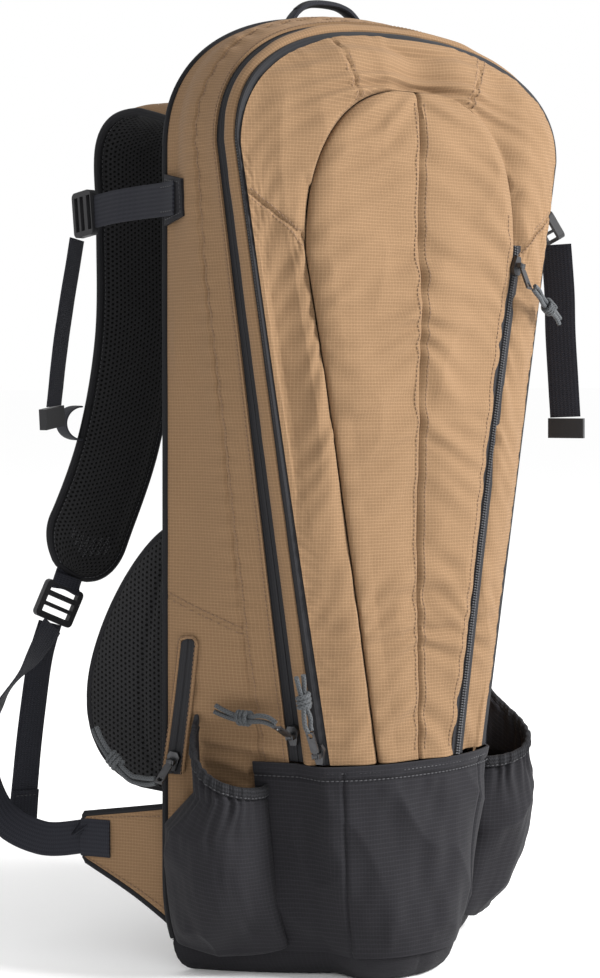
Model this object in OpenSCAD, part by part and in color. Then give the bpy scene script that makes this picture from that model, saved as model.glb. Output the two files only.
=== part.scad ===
// A tall, tapered hunting backpack: a clamshell bag with two perimeter zips, a padded back,
// shoulder straps, bottle pockets and compression straps. Millimetres, +Z up, -Y is the front.

/* [Bag] */
// Height of the bag from its base to the top of its crown
bag_h = 710; // [620:5:780]
// Width of the bag across its back
bag_w = 288; // [250:2:330]
// Depth of the main compartment, from the back to the main zip
main_d = 78; // [65:1:100]
// Depth of the strip between the main zip and the front zip
strip_d = 22; // [20:1:34]
// Width of the front face where the zips end
front_low_w = 144; // [120:2:174]
// How far the front panel bulges in front of the front zip
front_bulge = 18; // [10:1:28]
// Greatest width of the teardrop panel on the front
tear_w = 182; // [150:2:196]
// Width of the teardrop panel at its lower end
tear_low_w = 66; // [50:1:80]
// Height of the zips' lower ends above the base
zip_z = 160; // [135:1:190]
// Height of the rounded crown
crown_h = 108; // [85:1:130]
// How much lower the crown is at the front zip
crown_drop = 22; // [0:1:40]
// Thickness of the shell fabric with its lining
fabric_t = 2; // [1.2:0.1:3]

/* [Zips] */
// Width of one half of a zip tape
tape_w = 8.5; // [6:0.5:9.5]
// Thickness of a zip tape
tape_t = 1.2; // [0.8:0.1:1.6]
// Length of a slider
slider_l = 14; // [10:1:20]
// Width of a slider
slider_w = 10; // [8:0.5:14]
// Diameter of the cord on the pullers
cord_d = 3.5; // [2:0.25:4]

/* [Back and harness] */
// Thickness of the back pads
pad_t = 16; // [8:1:25]
// Thickness of the internal foam
foam_t = 8; // [4:1:12]
// Width of a shoulder strap
strap_w = 72; // [56:1:84]
// Thickness of a shoulder strap's padding
strap_t = 13; // [8:1:18]
// Width of the harness and compression webbing
web_w = 25; // [18:1:30]
// Thickness of the webbing
web_t = 1.6; // [1.2:0.1:2.4]
// How far a hip pad reaches out from the back
hip_reach = 74; // [50:1:95]

/* [Pockets] */
// Height of a side pocket's hem at its rear end
pocket_rear_z = 168; // [140:1:200]
// Height of a side pocket's hem at its front end
pocket_front_z = 136; // [110:1:150]
// How far a side pocket bulges from the bag
pocket_bulge = 34; // [22:1:44]

/* [Hidden] */

LEFT = -1;
RIGHT = 1;
gap = 0.3;                            // running gap between pieces that move apart
seam = 0.1;                           // gap between a tape and the cloth that it is sewn to
total_d = main_d + strip_d;
back_y = 40;                          // the back plane of the bag
zip2_y = back_y - total_d;
shoulder_z = bag_h - crown_h;         // the straight sides end here
top_taper = 3;                        // the crown is this much narrower at the front zip
strip_taper = 6;                      // how much each side narrows over the strip
side_bulge = 4;                       // the side wall's own fullness
lean_d = 12;                          // the crown leans back this much at the front zip
corner_z = 70;                        // the base corners start to round below this
corner_in = 26;                       // and come in by this much at the floor
crown_share = 0.25;                   // share of the outline that is crown
low_rows = 5;                         // rows of facets in the base corners,
mid_rows = 13;                        // up the straight sides
crown_rows = 12;                      // and on each half of the crown
face_low_z = zip_z + gap;             // lower edge of the panels that open
tear_arc = 0.3;                       // share of the teardrop's outline that is its top arc
tear_z = bag_h - crown_h - 78;        // height of the lower ends of the teardrop's arc
tear_h = 119;                         // height of its arc
squareness = 2 / 2.3;                 // exponent of the crown's superellipse
tan_c = [0.68, 0.5, 0.32];
black_c = [0.12, 0.12, 0.13];
metal_c = [0.6, 0.6, 0.6];

// ---- small vector helpers
function lerp(a, b, t) = a + (b - a) * t;
function unit(v) = v / norm(v);
function flip(p) = [-p.x, p.y, p.z];
function pow2(x, e) = pow(max(x, 0), e);

// ---- the bag's outer surface
// Half width at the zips' lower ends, and at the shoulder, for a depth d from the back
function low_w(d) = d < main_d
    ? lerp(bag_w / 2, front_low_w / 2 + strip_taper, d / main_d)
    : lerp(front_low_w / 2 + strip_taper, front_low_w / 2, (d - main_d) / strip_d);
function high_w(d) = bag_w / 2 - top_taper * d / total_d;
function corner(z) = z < corner_z ? corner_in * (1 - sqrt(1 - pow(1 - max(z, 0) / corner_z, 2))) : 0;
function fullness(d) = d < main_d ? side_bulge * sin(180 * d / main_d) : 0;
function half_w(d, z) = lerp(low_w(d), high_w(d), (z - zip_z) / (shoulder_z - zip_z))
    + fullness(d) - corner(z);
// Point on the left wall: u is 0 at the middle of the crown and 1 at the base
function u_of(z) = 1 - z / shoulder_z * (1 - crown_share);
function wall(u, d) = u > crown_share
    ? let (z = shoulder_z * (1 - u) / (1 - crown_share)) [-half_w(d, z), back_y - d, z]
    : let (a = 90 * (1 - u / crown_share), h = crown_h - crown_drop * pow(d / total_d, 2))
        [-half_w(d, shoulder_z) * pow2(cos(a), squareness),
         back_y - d + lean_d * pow(sin(a), 2) * d / total_d,
         shoulder_z + h * pow2(sin(a), squareness)];
function wall_normal(u, d) = let (e = 0.004, f = 1,
        a = wall(min(u + e, 1), d) - wall(max(u - e, 0.0005), d),
        b = wall(u, min(d + f, total_d)) - wall(u, max(d - f, 0)),
        n = cross(a, b)) unit(d < f ? [n.x, 0, n.z] : n);
// Both halves in one run: u from -1, the left base, to 1, the right base
function around(u, d, lift = 0) = let (a = max(abs(u), 0.004),
        p = wall(a, d) + lift * wall_normal(a, d)) u < 0 ? p : flip(p);
function side_pt(side, z, d, lift = 0) = around(side * u_of(z), d, lift);

// The outline that the front face is sewn to, at height z: its half width, depth and fade
function rise(z) = pow2(min((z - shoulder_z) / (crown_h - crown_drop), 0.9995), 1 / squareness);
function face_w(z) = z < shoulder_z ? half_w(total_d, z)
    : half_w(total_d, shoulder_z) * pow2(sqrt(1 - pow(rise(z), 2)), squareness);
function face_edge(z) = zip2_y + (z < shoulder_z ? 0 : lean_d * pow(rise(z), 2));
function face_fade(z) = z < shoulder_z ? 1 : pow2(sqrt(1 - pow(rise(z), 2)), 0.6);
// Point on the bulging front face at x and height z
function face(x, z, lift = 0) = let (v = min(1, abs(x) / face_w(z)))
    [x, face_edge(z) - lift - front_bulge * face_fade(z) * (1 - pow2(v, 2.5)), z];
// The teardrop panel's outline: s is 0 at the middle of its top arc and 1 at its lower end
function tear(s) = let (a = min(abs(s) / tear_arc, 1), k = max(abs(s) - tear_arc, 0) / (1 - tear_arc),
        w = lerp(tear_w, tear_low_w, pow(k, 0.92)) / 2)
    [sign(s) * w * pow2(sin(90 * a), 0.8), 0,
     a < 1 ? tear_z + tear_h * pow2(cos(90 * a), 0.8) : lerp(tear_z, face_low_z, k)];

// ---- solids from grids of points
// A closed solid between an outer and an inner grid of points
module slab(outer, inner) {
    r = len(outer);
    c = len(outer[0]);
    k = r * c;
    rim = concat([for (j = [0:c - 1]) j], [for (i = [1:r - 1]) i * c + c - 1],
        [for (j = [c - 2:-1:0]) (r - 1) * c + j], [for (i = [r - 2:-1:1]) i * c]);
    m = len(rim);
    polyhedron(
        points = concat([for (row = outer) each row], [for (row = inner) each row]),
        faces = concat(
            [for (i = [0:r - 2], j = [0:c - 2]) each
                [[i * c + j, i * c + j + 1, (i + 1) * c + j + 1],
                 [i * c + j, (i + 1) * c + j + 1, (i + 1) * c + j]]],
            [for (i = [0:r - 2], j = [0:c - 2]) each
                [[k + i * c + j, k + (i + 1) * c + j + 1, k + i * c + j + 1],
                 [k + i * c + j, k + (i + 1) * c + j, k + (i + 1) * c + j + 1]]],
            [for (i = [0:m - 1]) let (a = rim[i], b = rim[(i + 1) % m]) each
                [[a, k + a, k + b], [a, k + b, b]]]));
}
// A closed solid through a row of loops, with flat ends
module skin(loops) {
    n = len(loops);
    m = len(loops[0]);
    polyhedron(
        points = [for (l = loops) each l],
        faces = concat([[for (j = [0:m - 1]) j]], [[for (j = [m - 1:-1:0]) (n - 1) * m + j]],
            [for (i = [0:n - 2], j = [0:m - 1]) let (a = i * m + j, b = i * m + (j + 1) % m) each
                [[a, a + m, b + m], [a, b + m, b]]]));
}
// Heights of the rows below the shoulder, closer together in the rounded base corners
function levels(z0, z1) = [for (z = concat(
        [for (i = [0:low_rows - 1]) lerp(base_rise, corner_z, i / low_rows)],
        [for (i = [0:mid_rows]) lerp(corner_z, shoulder_z, i / mid_rows)]))
    if (z > z0 + 1 && z < z1 - 1) z];
// The rows of a band that starts at height z0 on both sides and runs over the crown
function rows_from(z0) = let (
        side = concat([u_of(z0)], [for (z = levels(z0, shoulder_z)) u_of(z)],
            [for (i = [0:crown_rows - 1]) crown_share * (1 - i / crown_rows)]),
        n = len(side))
    concat([for (u = side) -u], [0], [for (i = [n - 1:-1:0]) side[i]]);
// A strip of the side wall, over the crown, between depths d0 and d1 and lifts l0 and l1
module wall_band(z0, d0, d1, l0, l1, cols = 1) {
    rows = rows_from(z0);
    slab([for (u = rows) [for (j = [0:cols]) around(u, lerp(d0, d1, j / cols), l1)]],
         [for (u = rows) [for (j = [0:cols]) around(u, lerp(d0, d1, j / cols), l0)]]);
}

// ---- ribbons and cords
// A smooth run through a few points (Catmull-Rom), n steps a span
function knots(p, n) = let (m = len(p)) concat([for (i = [0:m - 2], k = [0:n - 1])
    let (t = k / n, a = p[max(i - 1, 0)], b = p[i], c = p[i + 1], d = p[min(i + 2, m - 1)])
        0.5 * (2 * b + (c - a) * t + (2 * a - 5 * b + 4 * c - d) * t * t
            + (3 * b - a - 3 * c + d) * t * t * t)], [p[m - 1]]);
function tangent(p, i) = unit(p[min(i + 1, len(p) - 1)] - p[max(i - 1, 0)]);
// A flat or padded ribbon: w0 and w1 are its width directions at its ends
module ribbon(p, w0, w1, wide, thick, cols = 2, edge = 1, round_end = 0, round_start = 0) {
    n = len(p) - 1;
    function across(i) = let (t = tangent(p, i), w = lerp(w0, w1, i / n)) unit(w - (w * t) * t);
    function narrow(i) = let (
            a = round_end > 0 ? min(1, norm(p[n] - p[i]) / round_end) : 1,
            b = round_start > 0 ? min(1, norm(p[0] - p[i]) / round_start) : 1)
        sqrt(1 - pow(1 - min(a, b) * 0.93 - 0.07, 2));
    function pt(i, j, s) = let (v = 2 * j / cols - 1, w = across(i), u = cross(tangent(p, i), w))
        p[i] + w * v * wide / 2 * narrow(i)
             + u * s * thick / 2 * lerp(1, edge, pow(abs(v), 3)) * lerp(edge, 1, narrow(i));
    slab([for (i = [0:n]) [for (j = [0:cols]) pt(i, j, -1)]],
         [for (i = [0:n]) [for (j = [0:cols]) pt(i, j, 1)]]);
}
// A round cord along points, with sides flats
module cord(p, d, sides = 8, up = [0.13, 0.31, 0.94]) {
    skin([for (i = [0:len(p) - 1]) let (t = tangent(p, i), a = unit(up - (up * t) * t), b = cross(t, a))
        [for (k = [0:sides - 1]) p[i] + d / 2 * (a * cos(360 * k / sides) + b * sin(360 * k / sides))]]);
}
module mirrored(side) {
    if (side == LEFT) children(); else mirror([1, 0, 0]) children();
}

// ---- shells of the bag
base_t = 3;                           // thickness of the base
base_rise = 24;                       // height at which the base meets the sides
base_in = 12;                         // how far the base's flat is inside its outline
panel_d = 54;                         // the lower panel and the pockets meet here
lower_top_z = zip_z - gap;
skin_lift = 0.5;                      // how far a panel sewn over the shell lies off it
// Plan outline of the bag at height z, moved in by inset, anticlockwise from the front middle
function plan(z, inset) = let (
        right = [for (d = [total_d:-total_d / 6:0]) let (p = side_pt(RIGHT, z, d)) [p.x, p.y]],
        middle = [for (v = [0:0.25:0.75]) let (p = face(v * face_w(z), z)) [p.x, p.y]],
        half = concat(middle, right),
        all = concat(half, [for (i = [len(half) - 1:-1:1]) [-half[i].x, half[i].y]]),
        mid = [0, (back_y + zip2_y) / 2])
    [for (p = all) let (q = [p.x, p.y] - mid) mid + q * (1 - inset / norm(q))];
function plan_at(z, h, inset) = [for (p = plan(z, inset)) [p.x, p.y, h]];

module main_shell() {
    color(tan_c) wall_band(base_rise, 0, main_d - tape_w - seam, -fabric_t, 0, 6);
}
module base_panel() {
    color(black_c) skin([
        plan_at(base_rise, 0, base_in), plan_at(base_rise, base_t, base_in - 5),
        plan_at(base_rise, base_rise / 2, 1.5), plan_at(base_rise, base_rise - gap, 0),
        plan_at(base_rise, base_rise - gap, fabric_t), plan_at(base_rise, base_rise / 2, fabric_t + 2),
        plan_at(base_rise, base_t, base_in + fabric_t)]);
}
// The black panel below the zips, from one pocket round the front to the other
module front_lower_panel() {
    side_cols = 5;
    face_cols = 12;
    function side(z, s, lift) = [for (j = [0:side_cols - 1])
        side_pt(s, z, lerp(panel_d, total_d, j / side_cols), lift)];
    function middle(z, lift) = [for (j = [0:face_cols]) let (v = 2 * j / face_cols - 1)
        face(v * face_w(z), z, lift * (1 - 0.3 * abs(v))) + [lift * v * 0.7, 0, 0]];
    function backwards(p) = [for (i = [len(p) - 1:-1:0]) p[i]];
    function row(z, lift) = concat(side(z, LEFT, lift), middle(z, lift), backwards(side(z, RIGHT, lift)));
    heights = concat([base_rise], levels(base_rise, lower_top_z), [lower_top_z]);
    color(black_c) slab([for (z = heights) row(z, skin_lift + fabric_t)],
        [for (z = heights) row(z, skin_lift)]);
}

// ---- the padded back
// The back plane's outline, moved in by inset, from height z0 up
function back_outline(inset, z0, d, n = 40) = let (e = u_of(z0))
    [for (i = [0:n]) let (p = around(lerp(-e, e, i / n), d, -inset)) [p.x, p.z]];
// A flat layer from depth plane y1 backwards, cut to the bag's outline at its front
module back_layer(y1, thick, inset, z0) {
    translate([0, y1 + thick, 0]) rotate([90, 0, 0])
        linear_extrude(thick) polygon(back_outline(inset, z0, max(back_y - y1, 0)));
}
// A pad with rounded corners on the back plane
module back_pad(x, z, w, h, r, y0, t) {
    translate([x, y0 + t, z]) rotate([90, 0, 0]) linear_extrude(t) rounded(w, h, r);
}
module rounded(w, h, r) {
    polygon([for (q = [[1, 1, 0], [-1, 1, 90], [-1, -1, 180], [1, -1, 270]], k = [0:15:90])
        [q.x * (w / 2 - r) + r * cos(q.z + k), q.y * (h / 2 - r) + r * sin(q.z + k)]]);
}
panel_t = 2;                          // thickness of the back mesh and of the lining
sheet_t = 1.6;                        // thickness of the frame sheet
inner_in = 6;                         // the layers inside lie this far in from the shell
foam_y = back_y - foam_t;
sheet_y = foam_y - sheet_t;
lining_y = sheet_y - panel_t;
pad_y = back_y + panel_t;

module back_panel() { color(black_c) back_layer(back_y, panel_t, 0, base_rise); }
module back_foam() { color([0.3, 0.3, 0.32]) back_layer(foam_y, foam_t, inner_in, base_rise + inner_in); }
module frame_sheet() {
    color([0.85, 0.85, 0.82]) back_layer(sheet_y, sheet_t, inner_in, base_rise + inner_in);
}
module back_lining() { color(tan_c) back_layer(lining_y, panel_t, inner_in, base_rise + inner_in); }

upper_pad_w = bag_w * 0.36;
upper_pad_h = 210;
upper_pad_z = 470;
lumbar_w = bag_w * 0.78;
lumbar_h = 120;
lumbar_z = 190;
module back_pads() {
    color(black_c) {
        for (s = [LEFT, RIGHT])
            back_pad(s * bag_w * 0.25, upper_pad_z, upper_pad_w, upper_pad_h, 28, pad_y, pad_t);
        back_pad(0, lumbar_z, lumbar_w, lumbar_h, 34, pad_y, pad_t);
    }
}
// A hip pad: a thick fin that reaches out and back from the bag's rear corner
hip_low_z = 128;
hip_high_z = 325;
hip_root_x = bag_w * 0.39 + 6;        // just outside the lumbar pad
hip_t = 14;
hip_out = [-0.62, 0.785, 0];          // direction of the fin, for the left side
module hip_pad(side) {
    rows = 14;
    cols = 6;
    normal = [-hip_out.y, hip_out.x, 0];
    function reach(t) = hip_reach * pow2(sin(180 * pow(t, 0.62)), 0.62) + 10;
    function pt(i, j, s) = let (t = i / rows, k = j / cols, thin = 1 - 0.7 * pow(k, 3))
        [-hip_root_x, pad_y + 6, lerp(hip_low_z, hip_high_z, t)] + hip_out * reach(t) * k
            + normal * s * hip_t / 2 * thin * (0.35 + 0.65 * pow2(sin(180 * lerp(0.06, 0.94, t)), 0.5));
    color(black_c) mirrored(side) slab([for (i = [0:rows]) [for (j = [0:cols]) pt(i, j, -1)]],
        [for (i = [0:rows]) [for (j = [0:cols]) pt(i, j, 1)]]);
}
module left_hip_pad() { hip_pad(LEFT); }
module right_hip_pad() { hip_pad(RIGHT); }

// The reinforced panel that the straps and the handle are sewn to
yoke_t = 3;
yoke_w = 190;
yoke_low_z = 588;
yoke_high_z = 684;
module strap_yoke() {
    color(black_c) back_pad(0, (yoke_low_z + yoke_high_z) / 2, yoke_w, yoke_high_z - yoke_low_z, 10,
        pad_y, yoke_t);
}
sleeve_t = 1.5;
sleeve_gap = 22;                      // room for a reservoir
sleeve_w = bag_w * 0.62;
sleeve_low_z = 190;
sleeve_high_z = 540;
// An open-topped pocket against the lining: a front sheet with two sides and a floor
module hydration_sleeve() {
    h = sleeve_high_z - sleeve_low_z;
    color(black_c) translate([0, lining_y - sleeve_gap, sleeve_low_z]) difference() {
        translate([-sleeve_w / 2, -sleeve_t, 0]) cube([sleeve_w, sleeve_gap + sleeve_t, h]);
        translate([-sleeve_w / 2 + sleeve_t, 0, sleeve_t])
            cube([sleeve_w - 2 * sleeve_t, sleeve_gap + 1, h]);
    }
}

// ---- side pockets
pocket_rear_d = 13;
function hem_z(t) = lerp(pocket_rear_z, pocket_front_z, pow(t, 0.6));
pocket_off = 3.1;                     // clear of the shell and of the lower panel
pocket_t = 2;
// Point on a pocket: t from its rear seam to its front one, k from its floor to its hem
function pocket_pt(t, k, lift) = let (z = lerp(base_rise + 2, hem_z(t), k),
        swell = pocket_bulge * pow2(sin(180 * t), 0.7) * (0.3 + 0.7 * sin(90 * min(1, k * 1.4)))
            * (1 - 0.2 * k))
    side_pt(LEFT, z, lerp(pocket_rear_d, panel_d + 6, t), pocket_off + swell + lift);
module side_pocket(side) {
    rows = 10;
    cols = 14;
    color(black_c) mirrored(side) slab(
        [for (i = [0:rows]) [for (j = [0:cols]) pocket_pt(j / cols, i / rows, pocket_t)]],
        [for (i = [0:rows]) [for (j = [0:cols]) pocket_pt(j / cols, i / rows, 0)]]);
}
hem_h = 6;
module pocket_elastic(side) {
    cols = 14;
    lip = 0.8;                        // how far the hem stands out from the pocket
    function top(j, lift, up) = pocket_pt(j / cols, 1, lift) + [0, 0, up];
    color([0.08, 0.08, 0.08]) mirrored(side) slab(
        [for (up = [gap, hem_h]) [for (j = [0:cols]) top(j, pocket_t + lip, up)]],
        [for (up = [gap, hem_h]) [for (j = [0:cols]) top(j, 0, up)]]);
}
module left_side_pocket() { side_pocket(LEFT); }
module right_side_pocket() { side_pocket(RIGHT); }
module left_pocket_elastic() { pocket_elastic(LEFT); }
module right_pocket_elastic() { pocket_elastic(RIGHT); }

// ---- zip tapes and the panels that open
half_gap = gap / 2;
module main_zip_shell_tape() {
    color(black_c) wall_band(face_low_z, main_d - tape_w, main_d - half_gap, -tape_t, 0);
}
module main_zip_flap_tape() {
    color(black_c) wall_band(face_low_z, main_d + half_gap, main_d + tape_w, -tape_t, 0);
}
module mid_gusset() {
    color(tan_c) wall_band(face_low_z, main_d + tape_w + seam, total_d - tape_w - seam, -fabric_t, 0);
}
module front_zip_gusset_tape() {
    color(black_c) wall_band(face_low_z, total_d - tape_w, total_d - half_gap, -tape_t, 0);
}
// A flat sheet across the bag at depth d, held inside the wall by inset
module web(d, inset, thick, z0, rows = 24, cols = 4) {
    function pt(i, j, s) = let (u = lerp(0.035, u_of(z0), i / rows), p = around(-u, d, -inset))
        [lerp(p.x, -p.x, j / cols), p.y + s * thick, p.z];
    slab([for (i = [0:rows]) [for (j = [0:cols]) pt(i, j, 0)]],
        [for (i = [0:rows]) [for (j = [0:cols]) pt(i, j, 1)]]);
}
divider_d = main_d + strip_d / 2;
module divider_panel() {
    color(tan_c) web(divider_d, fabric_t + gap, fabric_t, face_low_z);
}
// A band of the front face, from in0 inside its outline to in1, or to the teardrop if in1 is 0
module face_band(in0, in1, lift, thick, cols) {
    rows = 48;
    e = u_of(face_low_z);
    function pt(i, j, l) = let (s = lerp(-1, 1, i / rows), o = around(s * e, total_d), t = tear(s),
            span = norm([o.x - t.x, o.z - t.z]),
            f = lerp(in0 / span, in1 == 0 ? 1 - seam_allow / span : in1 / span, j / cols))
        face(lerp(o.x, t.x, f), max(lerp(o.z, t.z, f), face_low_z), l);
    slab([for (i = [0:rows]) [for (j = [0:cols]) pt(i, j, lift + thick)]],
        [for (i = [0:rows]) [for (j = [0:cols]) pt(i, j, lift)]]);
}
seam_allow = 0.9;                     // room between panels that are sewn edge to edge
module front_cover() { color(tan_c) face_band(tape_w, 0, -fabric_t, fabric_t, 5); }
module front_zip_cover_tape() { color(black_c) face_band(2 * tape_t + 2 * gap, tape_w, -tape_t, tape_t, 1); }
module center_panel() {
    rows = 26;
    cols = 6;
    function pt(i, j, l) = let (t = tear(lerp(0.03, 1, i / rows)))
        face(lerp(-t.x, t.x, j / cols), t.z, l);
    color(tan_c) slab([for (i = [0:rows]) [for (j = [0:cols]) pt(i, j, 0)]],
        [for (i = [0:rows]) [for (j = [0:cols]) pt(i, j, -fabric_t)]]);
}
// The pocket zip lies over the right-hand seam of the teardrop
pocket_zip_top = 0.29;                // share of the teardrop's outline where it starts
pocket_tape_w = 12;
module pocket_zip_tape() {
    rows = 24;
    function pt(i, j, l) = let (t = tear(lerp(pocket_zip_top, 1, i / rows)))
        face(t.x + (j - 0.5) * pocket_tape_w, t.z, l);
    color(black_c) slab([for (i = [0:rows]) [for (j = [0:1]) pt(i, j, skin_lift + tape_t)]],
        [for (i = [0:rows]) [for (j = [0:1]) pt(i, j, skin_lift)]]);
}
// The side-entry zip runs up the left wall beside the pocket's rear seam
side_zip_low = [5, 146];              // depth and height of its ends
side_zip_high = [18, 246];
side_tape_w = 9;
function side_zip(k, off, lift) = let (p = lerp(side_zip_low, side_zip_high, k))
    side_pt(LEFT, p.y, p.x + off, lift);
module side_zip_tape() {
    rows = 8;
    edge = side_tape_w / 2;
    color(black_c) slab(
        [for (i = [0:rows]) [for (o = [-edge, edge]) side_zip(i / rows, o, skin_lift + tape_t)]],
        [for (i = [0:rows]) [for (o = [-edge, edge]) side_zip(i / rows, o, skin_lift)]]);
}

// ---- zip sliders: the slider's frame has +Z along the zip's outward normal, +X along the zip
slider_t = 3.2;
bar_d = 1.8;                          // the bar that holds the puller
bar_z = 6;                            // height of the bar over the slider's seat
eye_d = bar_d + 2 * gap;
puller_l = 20;
puller_w = 6;
puller_t = 1.6;
cheek_t = 1;
module slider() {
    color(metal_c) {
        linear_extrude(slider_t) hull_plate();
        for (s = [LEFT, RIGHT]) translate([0, s * (eye_w / 2 + gap + cheek_t / 2), slider_t])
            translate([-bar_d, -cheek_t / 2, 0]) cube([2 * bar_d, cheek_t, bar_z - slider_t + bar_d]);
        translate([0, -eye_w / 2 - gap - half_gap, bar_z]) rotate([-90, 0, 0])
            cylinder(d = bar_d, h = eye_w + 2 * gap + 2 * half_gap, $fn = 24);
    }
}
eye_w = 3.4;
module hull_plate() {
    polygon([[slider_l / 2, -slider_w / 2 + 2], [slider_l / 2, slider_w / 2 - 2],
        [slider_l / 4, slider_w / 2], [-slider_l / 2, slider_w / 2 - 2.5],
        [-slider_l / 2, -slider_w / 2 + 2.5], [slider_l / 4, -slider_w / 2]]);
}
// A puller hangs from the bar at the origin and reaches along -X
module puller() {
    color(metal_c) difference() {
        union() {
            translate([0, eye_w / 2, 0]) rotate([90, 0, 0]) cylinder(d = eye_d + 2, h = eye_w, $fn = 32);
            translate([-puller_l, -puller_w / 2, -puller_t / 2])
                cube([puller_l - eye_d - 1, puller_w, puller_t]);
            translate([-eye_d - 2, -eye_w / 2, -puller_t / 2]) cube([eye_d + 2, eye_w, puller_t]);
        }
        translate([0, eye_w, 0]) rotate([90, 0, 0]) cylinder(d = eye_d, h = 2 * eye_w, $fn = 32);
        translate([-puller_l + puller_w / 2, 0, -puller_t])
            cylinder(d = cord_d + 0.6, h = 2 * puller_t, $fn = 32);
    }
}
// Puts children at a seat: x along the zip, z along the outward normal
module seated(at, along, out) {
    x = unit(along);
    z = unit(out - (out * x) * x);
    y = cross(z, x);
    multmatrix([[x.x, y.x, z.x, at.x], [x.y, y.y, z.y, at.y], [x.z, y.z, z.z, at.z]]) children();
}

// Seats of the four sliders, for the zips closed
slider_off = 0.4;                     // running clearance between a slider and its tape
main_off = 1.7;                       // the main slider's, because its zip lies in a fold
main_seat_z = zip_z + 20;
front_seat_z = zip_z + 9;
pocket_seat = 0.308;                  // share of the teardrop's outline
side_seat = 0.1;                      // share of the side-entry zip
function wall_seat(z, d) = side_pt(LEFT, z, d, slider_off);
function wall_along(z, d) = unit(side_pt(LEFT, z + 40, d) - side_pt(LEFT, z, d));
function wall_out(z, d) = side_pt(LEFT, z, d, 1) - side_pt(LEFT, z, d);
main_at = side_pt(LEFT, main_seat_z, main_d, main_off);
main_along = wall_along(main_seat_z, main_d);
main_out = wall_out(main_seat_z + 40, main_d);
front_at = wall_seat(front_seat_z, total_d);
front_along = wall_along(front_seat_z, total_d);
front_out = wall_out(front_seat_z + 60, total_d - 1) + [0, -0.4, 0];
pocket_a = tear(pocket_seat);
pocket_b = tear(pocket_seat + 0.25);
pocket_lift = skin_lift + tape_t + slider_off + 0.6;
pocket_at = face(pocket_a.x, pocket_a.z, pocket_lift);
pocket_along = unit(face(pocket_b.x, pocket_b.z) - face(pocket_a.x, pocket_a.z));
pocket_out = [0.32, -1, 0];
side_at = side_zip(side_seat, 0, skin_lift + tape_t + slider_off + 0.4);
side_along = unit(side_zip(0.9, 0, 0) - side_zip(side_seat, 0, 0));
side_out = side_zip(side_seat, 0, 1) - side_zip(side_seat, 0, 0);
// The bar of a seated slider, and the far eye of its puller, which points down the zip
function out_of(along, out) = unit(out - (out * unit(along)) * unit(along));
function bar_of(at, along, out) = at + out_of(along, out) * bar_z;
// Directions in which the pullers hang at rest
main_hang = [-0.7, -0.5, 0.5];
front_hang = [-0.35, -0.2, 0.92];
pocket_hang = [0.3, -0.35, -0.85];
side_hang = [-0.86, 0.42, -0.25];
// A puller turned about the slider's bar to point along hang
module puller_at(at, along, out, hang) {
    z = out_of(along, out);
    y = cross(z, unit(along));
    x = unit(hang - (hang * y) * y);
    seated(bar_of(at, along, out), -x, cross(-x, y)) puller();
}
module main_zip_slider() { seated(main_at, main_along, main_out) slider(); }
module front_zip_slider() { seated(front_at, front_along, front_out) slider(); }
module pocket_zip_slider() { seated(pocket_at, pocket_along, pocket_out) slider(); }
module side_zip_slider() { seated(side_at, side_along, side_out) slider(); }
module main_zip_puller() { puller_at(main_at, main_along, main_out, main_hang); }
module front_zip_puller() { puller_at(front_at, front_along, front_out, front_hang); }
module pocket_zip_puller() { puller_at(pocket_at, pocket_along, pocket_out, pocket_hang); }
module side_zip_puller() { puller_at(side_at, side_along, side_out, side_hang); }

// ---- cords on the pullers: two strands from the eye into a knot, and two ends beyond it
strand_half = 2.1;                    // half the distance between the two strands
knot_d = 11;                          // the knot's greatest thickness
knot_gap = 0.9;                       // the strands end this far short of it
knot_from = 4;                        // the points between which the knot lies
knot_to = 6;
// Each route starts in its puller's eye
main_route = [[-102, -45.5, 190], [-104, -41, 192], [-106, -37, 193], [-108, -32, 193], [-110, -27, 192],
    [-113, -20, 192], [-117, -13, 192], [-121, -6, 194], [-125, 1, 197]];
front_route = [[-86.5, -67, 187], [-88, -67, 191], [-89, -68, 195], [-90, -68, 199], [-91, -68, 203],
    [-92, -68, 209], [-93, -68, 215], [-94, -68, 221], [-96, -69, 227]];
pocket_route = [[97, -88, 503], [100, -87, 501], [104, -86, 498], [108, -84, 495], [113, -81, 492],
    [119, -78, 489], [125, -75, 486], [131, -72, 483], [136, -70, 479]];
side_route = [[-160.5, 25.5, 144.5], [-163, 32, 143], [-166, 38, 143], [-170, 45, 144], [-174, 52, 149],
    [-177, 59, 155], [-181, 65, 162], [-184, 70, 170], [-186, 74, 178]];
// One strand: the route moved sideways, half a turn apart for the two
function strand(p, side, s) = [for (i = [0:len(p) - 1])
    let (t = tangent(p, i), w = unit(side - (side * t) * t)) p[i] + w * s * strand_half];
function part_of(p, i0, i1) = [for (i = [i0:i1]) p[i]];
module pull_cord(route, side) {
    steps = 2;
    last = (len(route) - 1) * steps;
    color([0.25, 0.25, 0.26]) {
        for (s = [LEFT, RIGHT]) {
            run = strand(knots(route, steps), side, s);
            cord(part_of(run, 0, knot_from * steps), cord_d);
            cord(part_of(run, knot_to * steps, last), cord_d);
        }
        middle = part_of(knots(route, steps), knot_from * steps, knot_to * steps);
        skin([for (i = [0:len(middle) - 1]) let (t = tangent(middle, i), w = unit(side - (side * t) * t),
                n = cross(t, w), k = i / (len(middle) - 1), r = knot_d / 2 * (0.82 + 0.18 * sin(180 * k)))
            [for (j = [0:11]) middle[i] + t * (i == 0 ? knot_gap : i == len(middle) - 1 ? -knot_gap : 0)
                + r * (w * cos(30 * j) + n * sin(30 * j))]]);
    }
}
module main_zip_cord() { pull_cord(main_route, main_along); }
module front_zip_cord() { pull_cord(front_route, [1, 0, 0]); }
module pocket_zip_cord() { pull_cord(pocket_route, [0, 0, 1]); }
module side_zip_cord() { pull_cord(side_route, [0, 0, 1]); }

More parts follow.
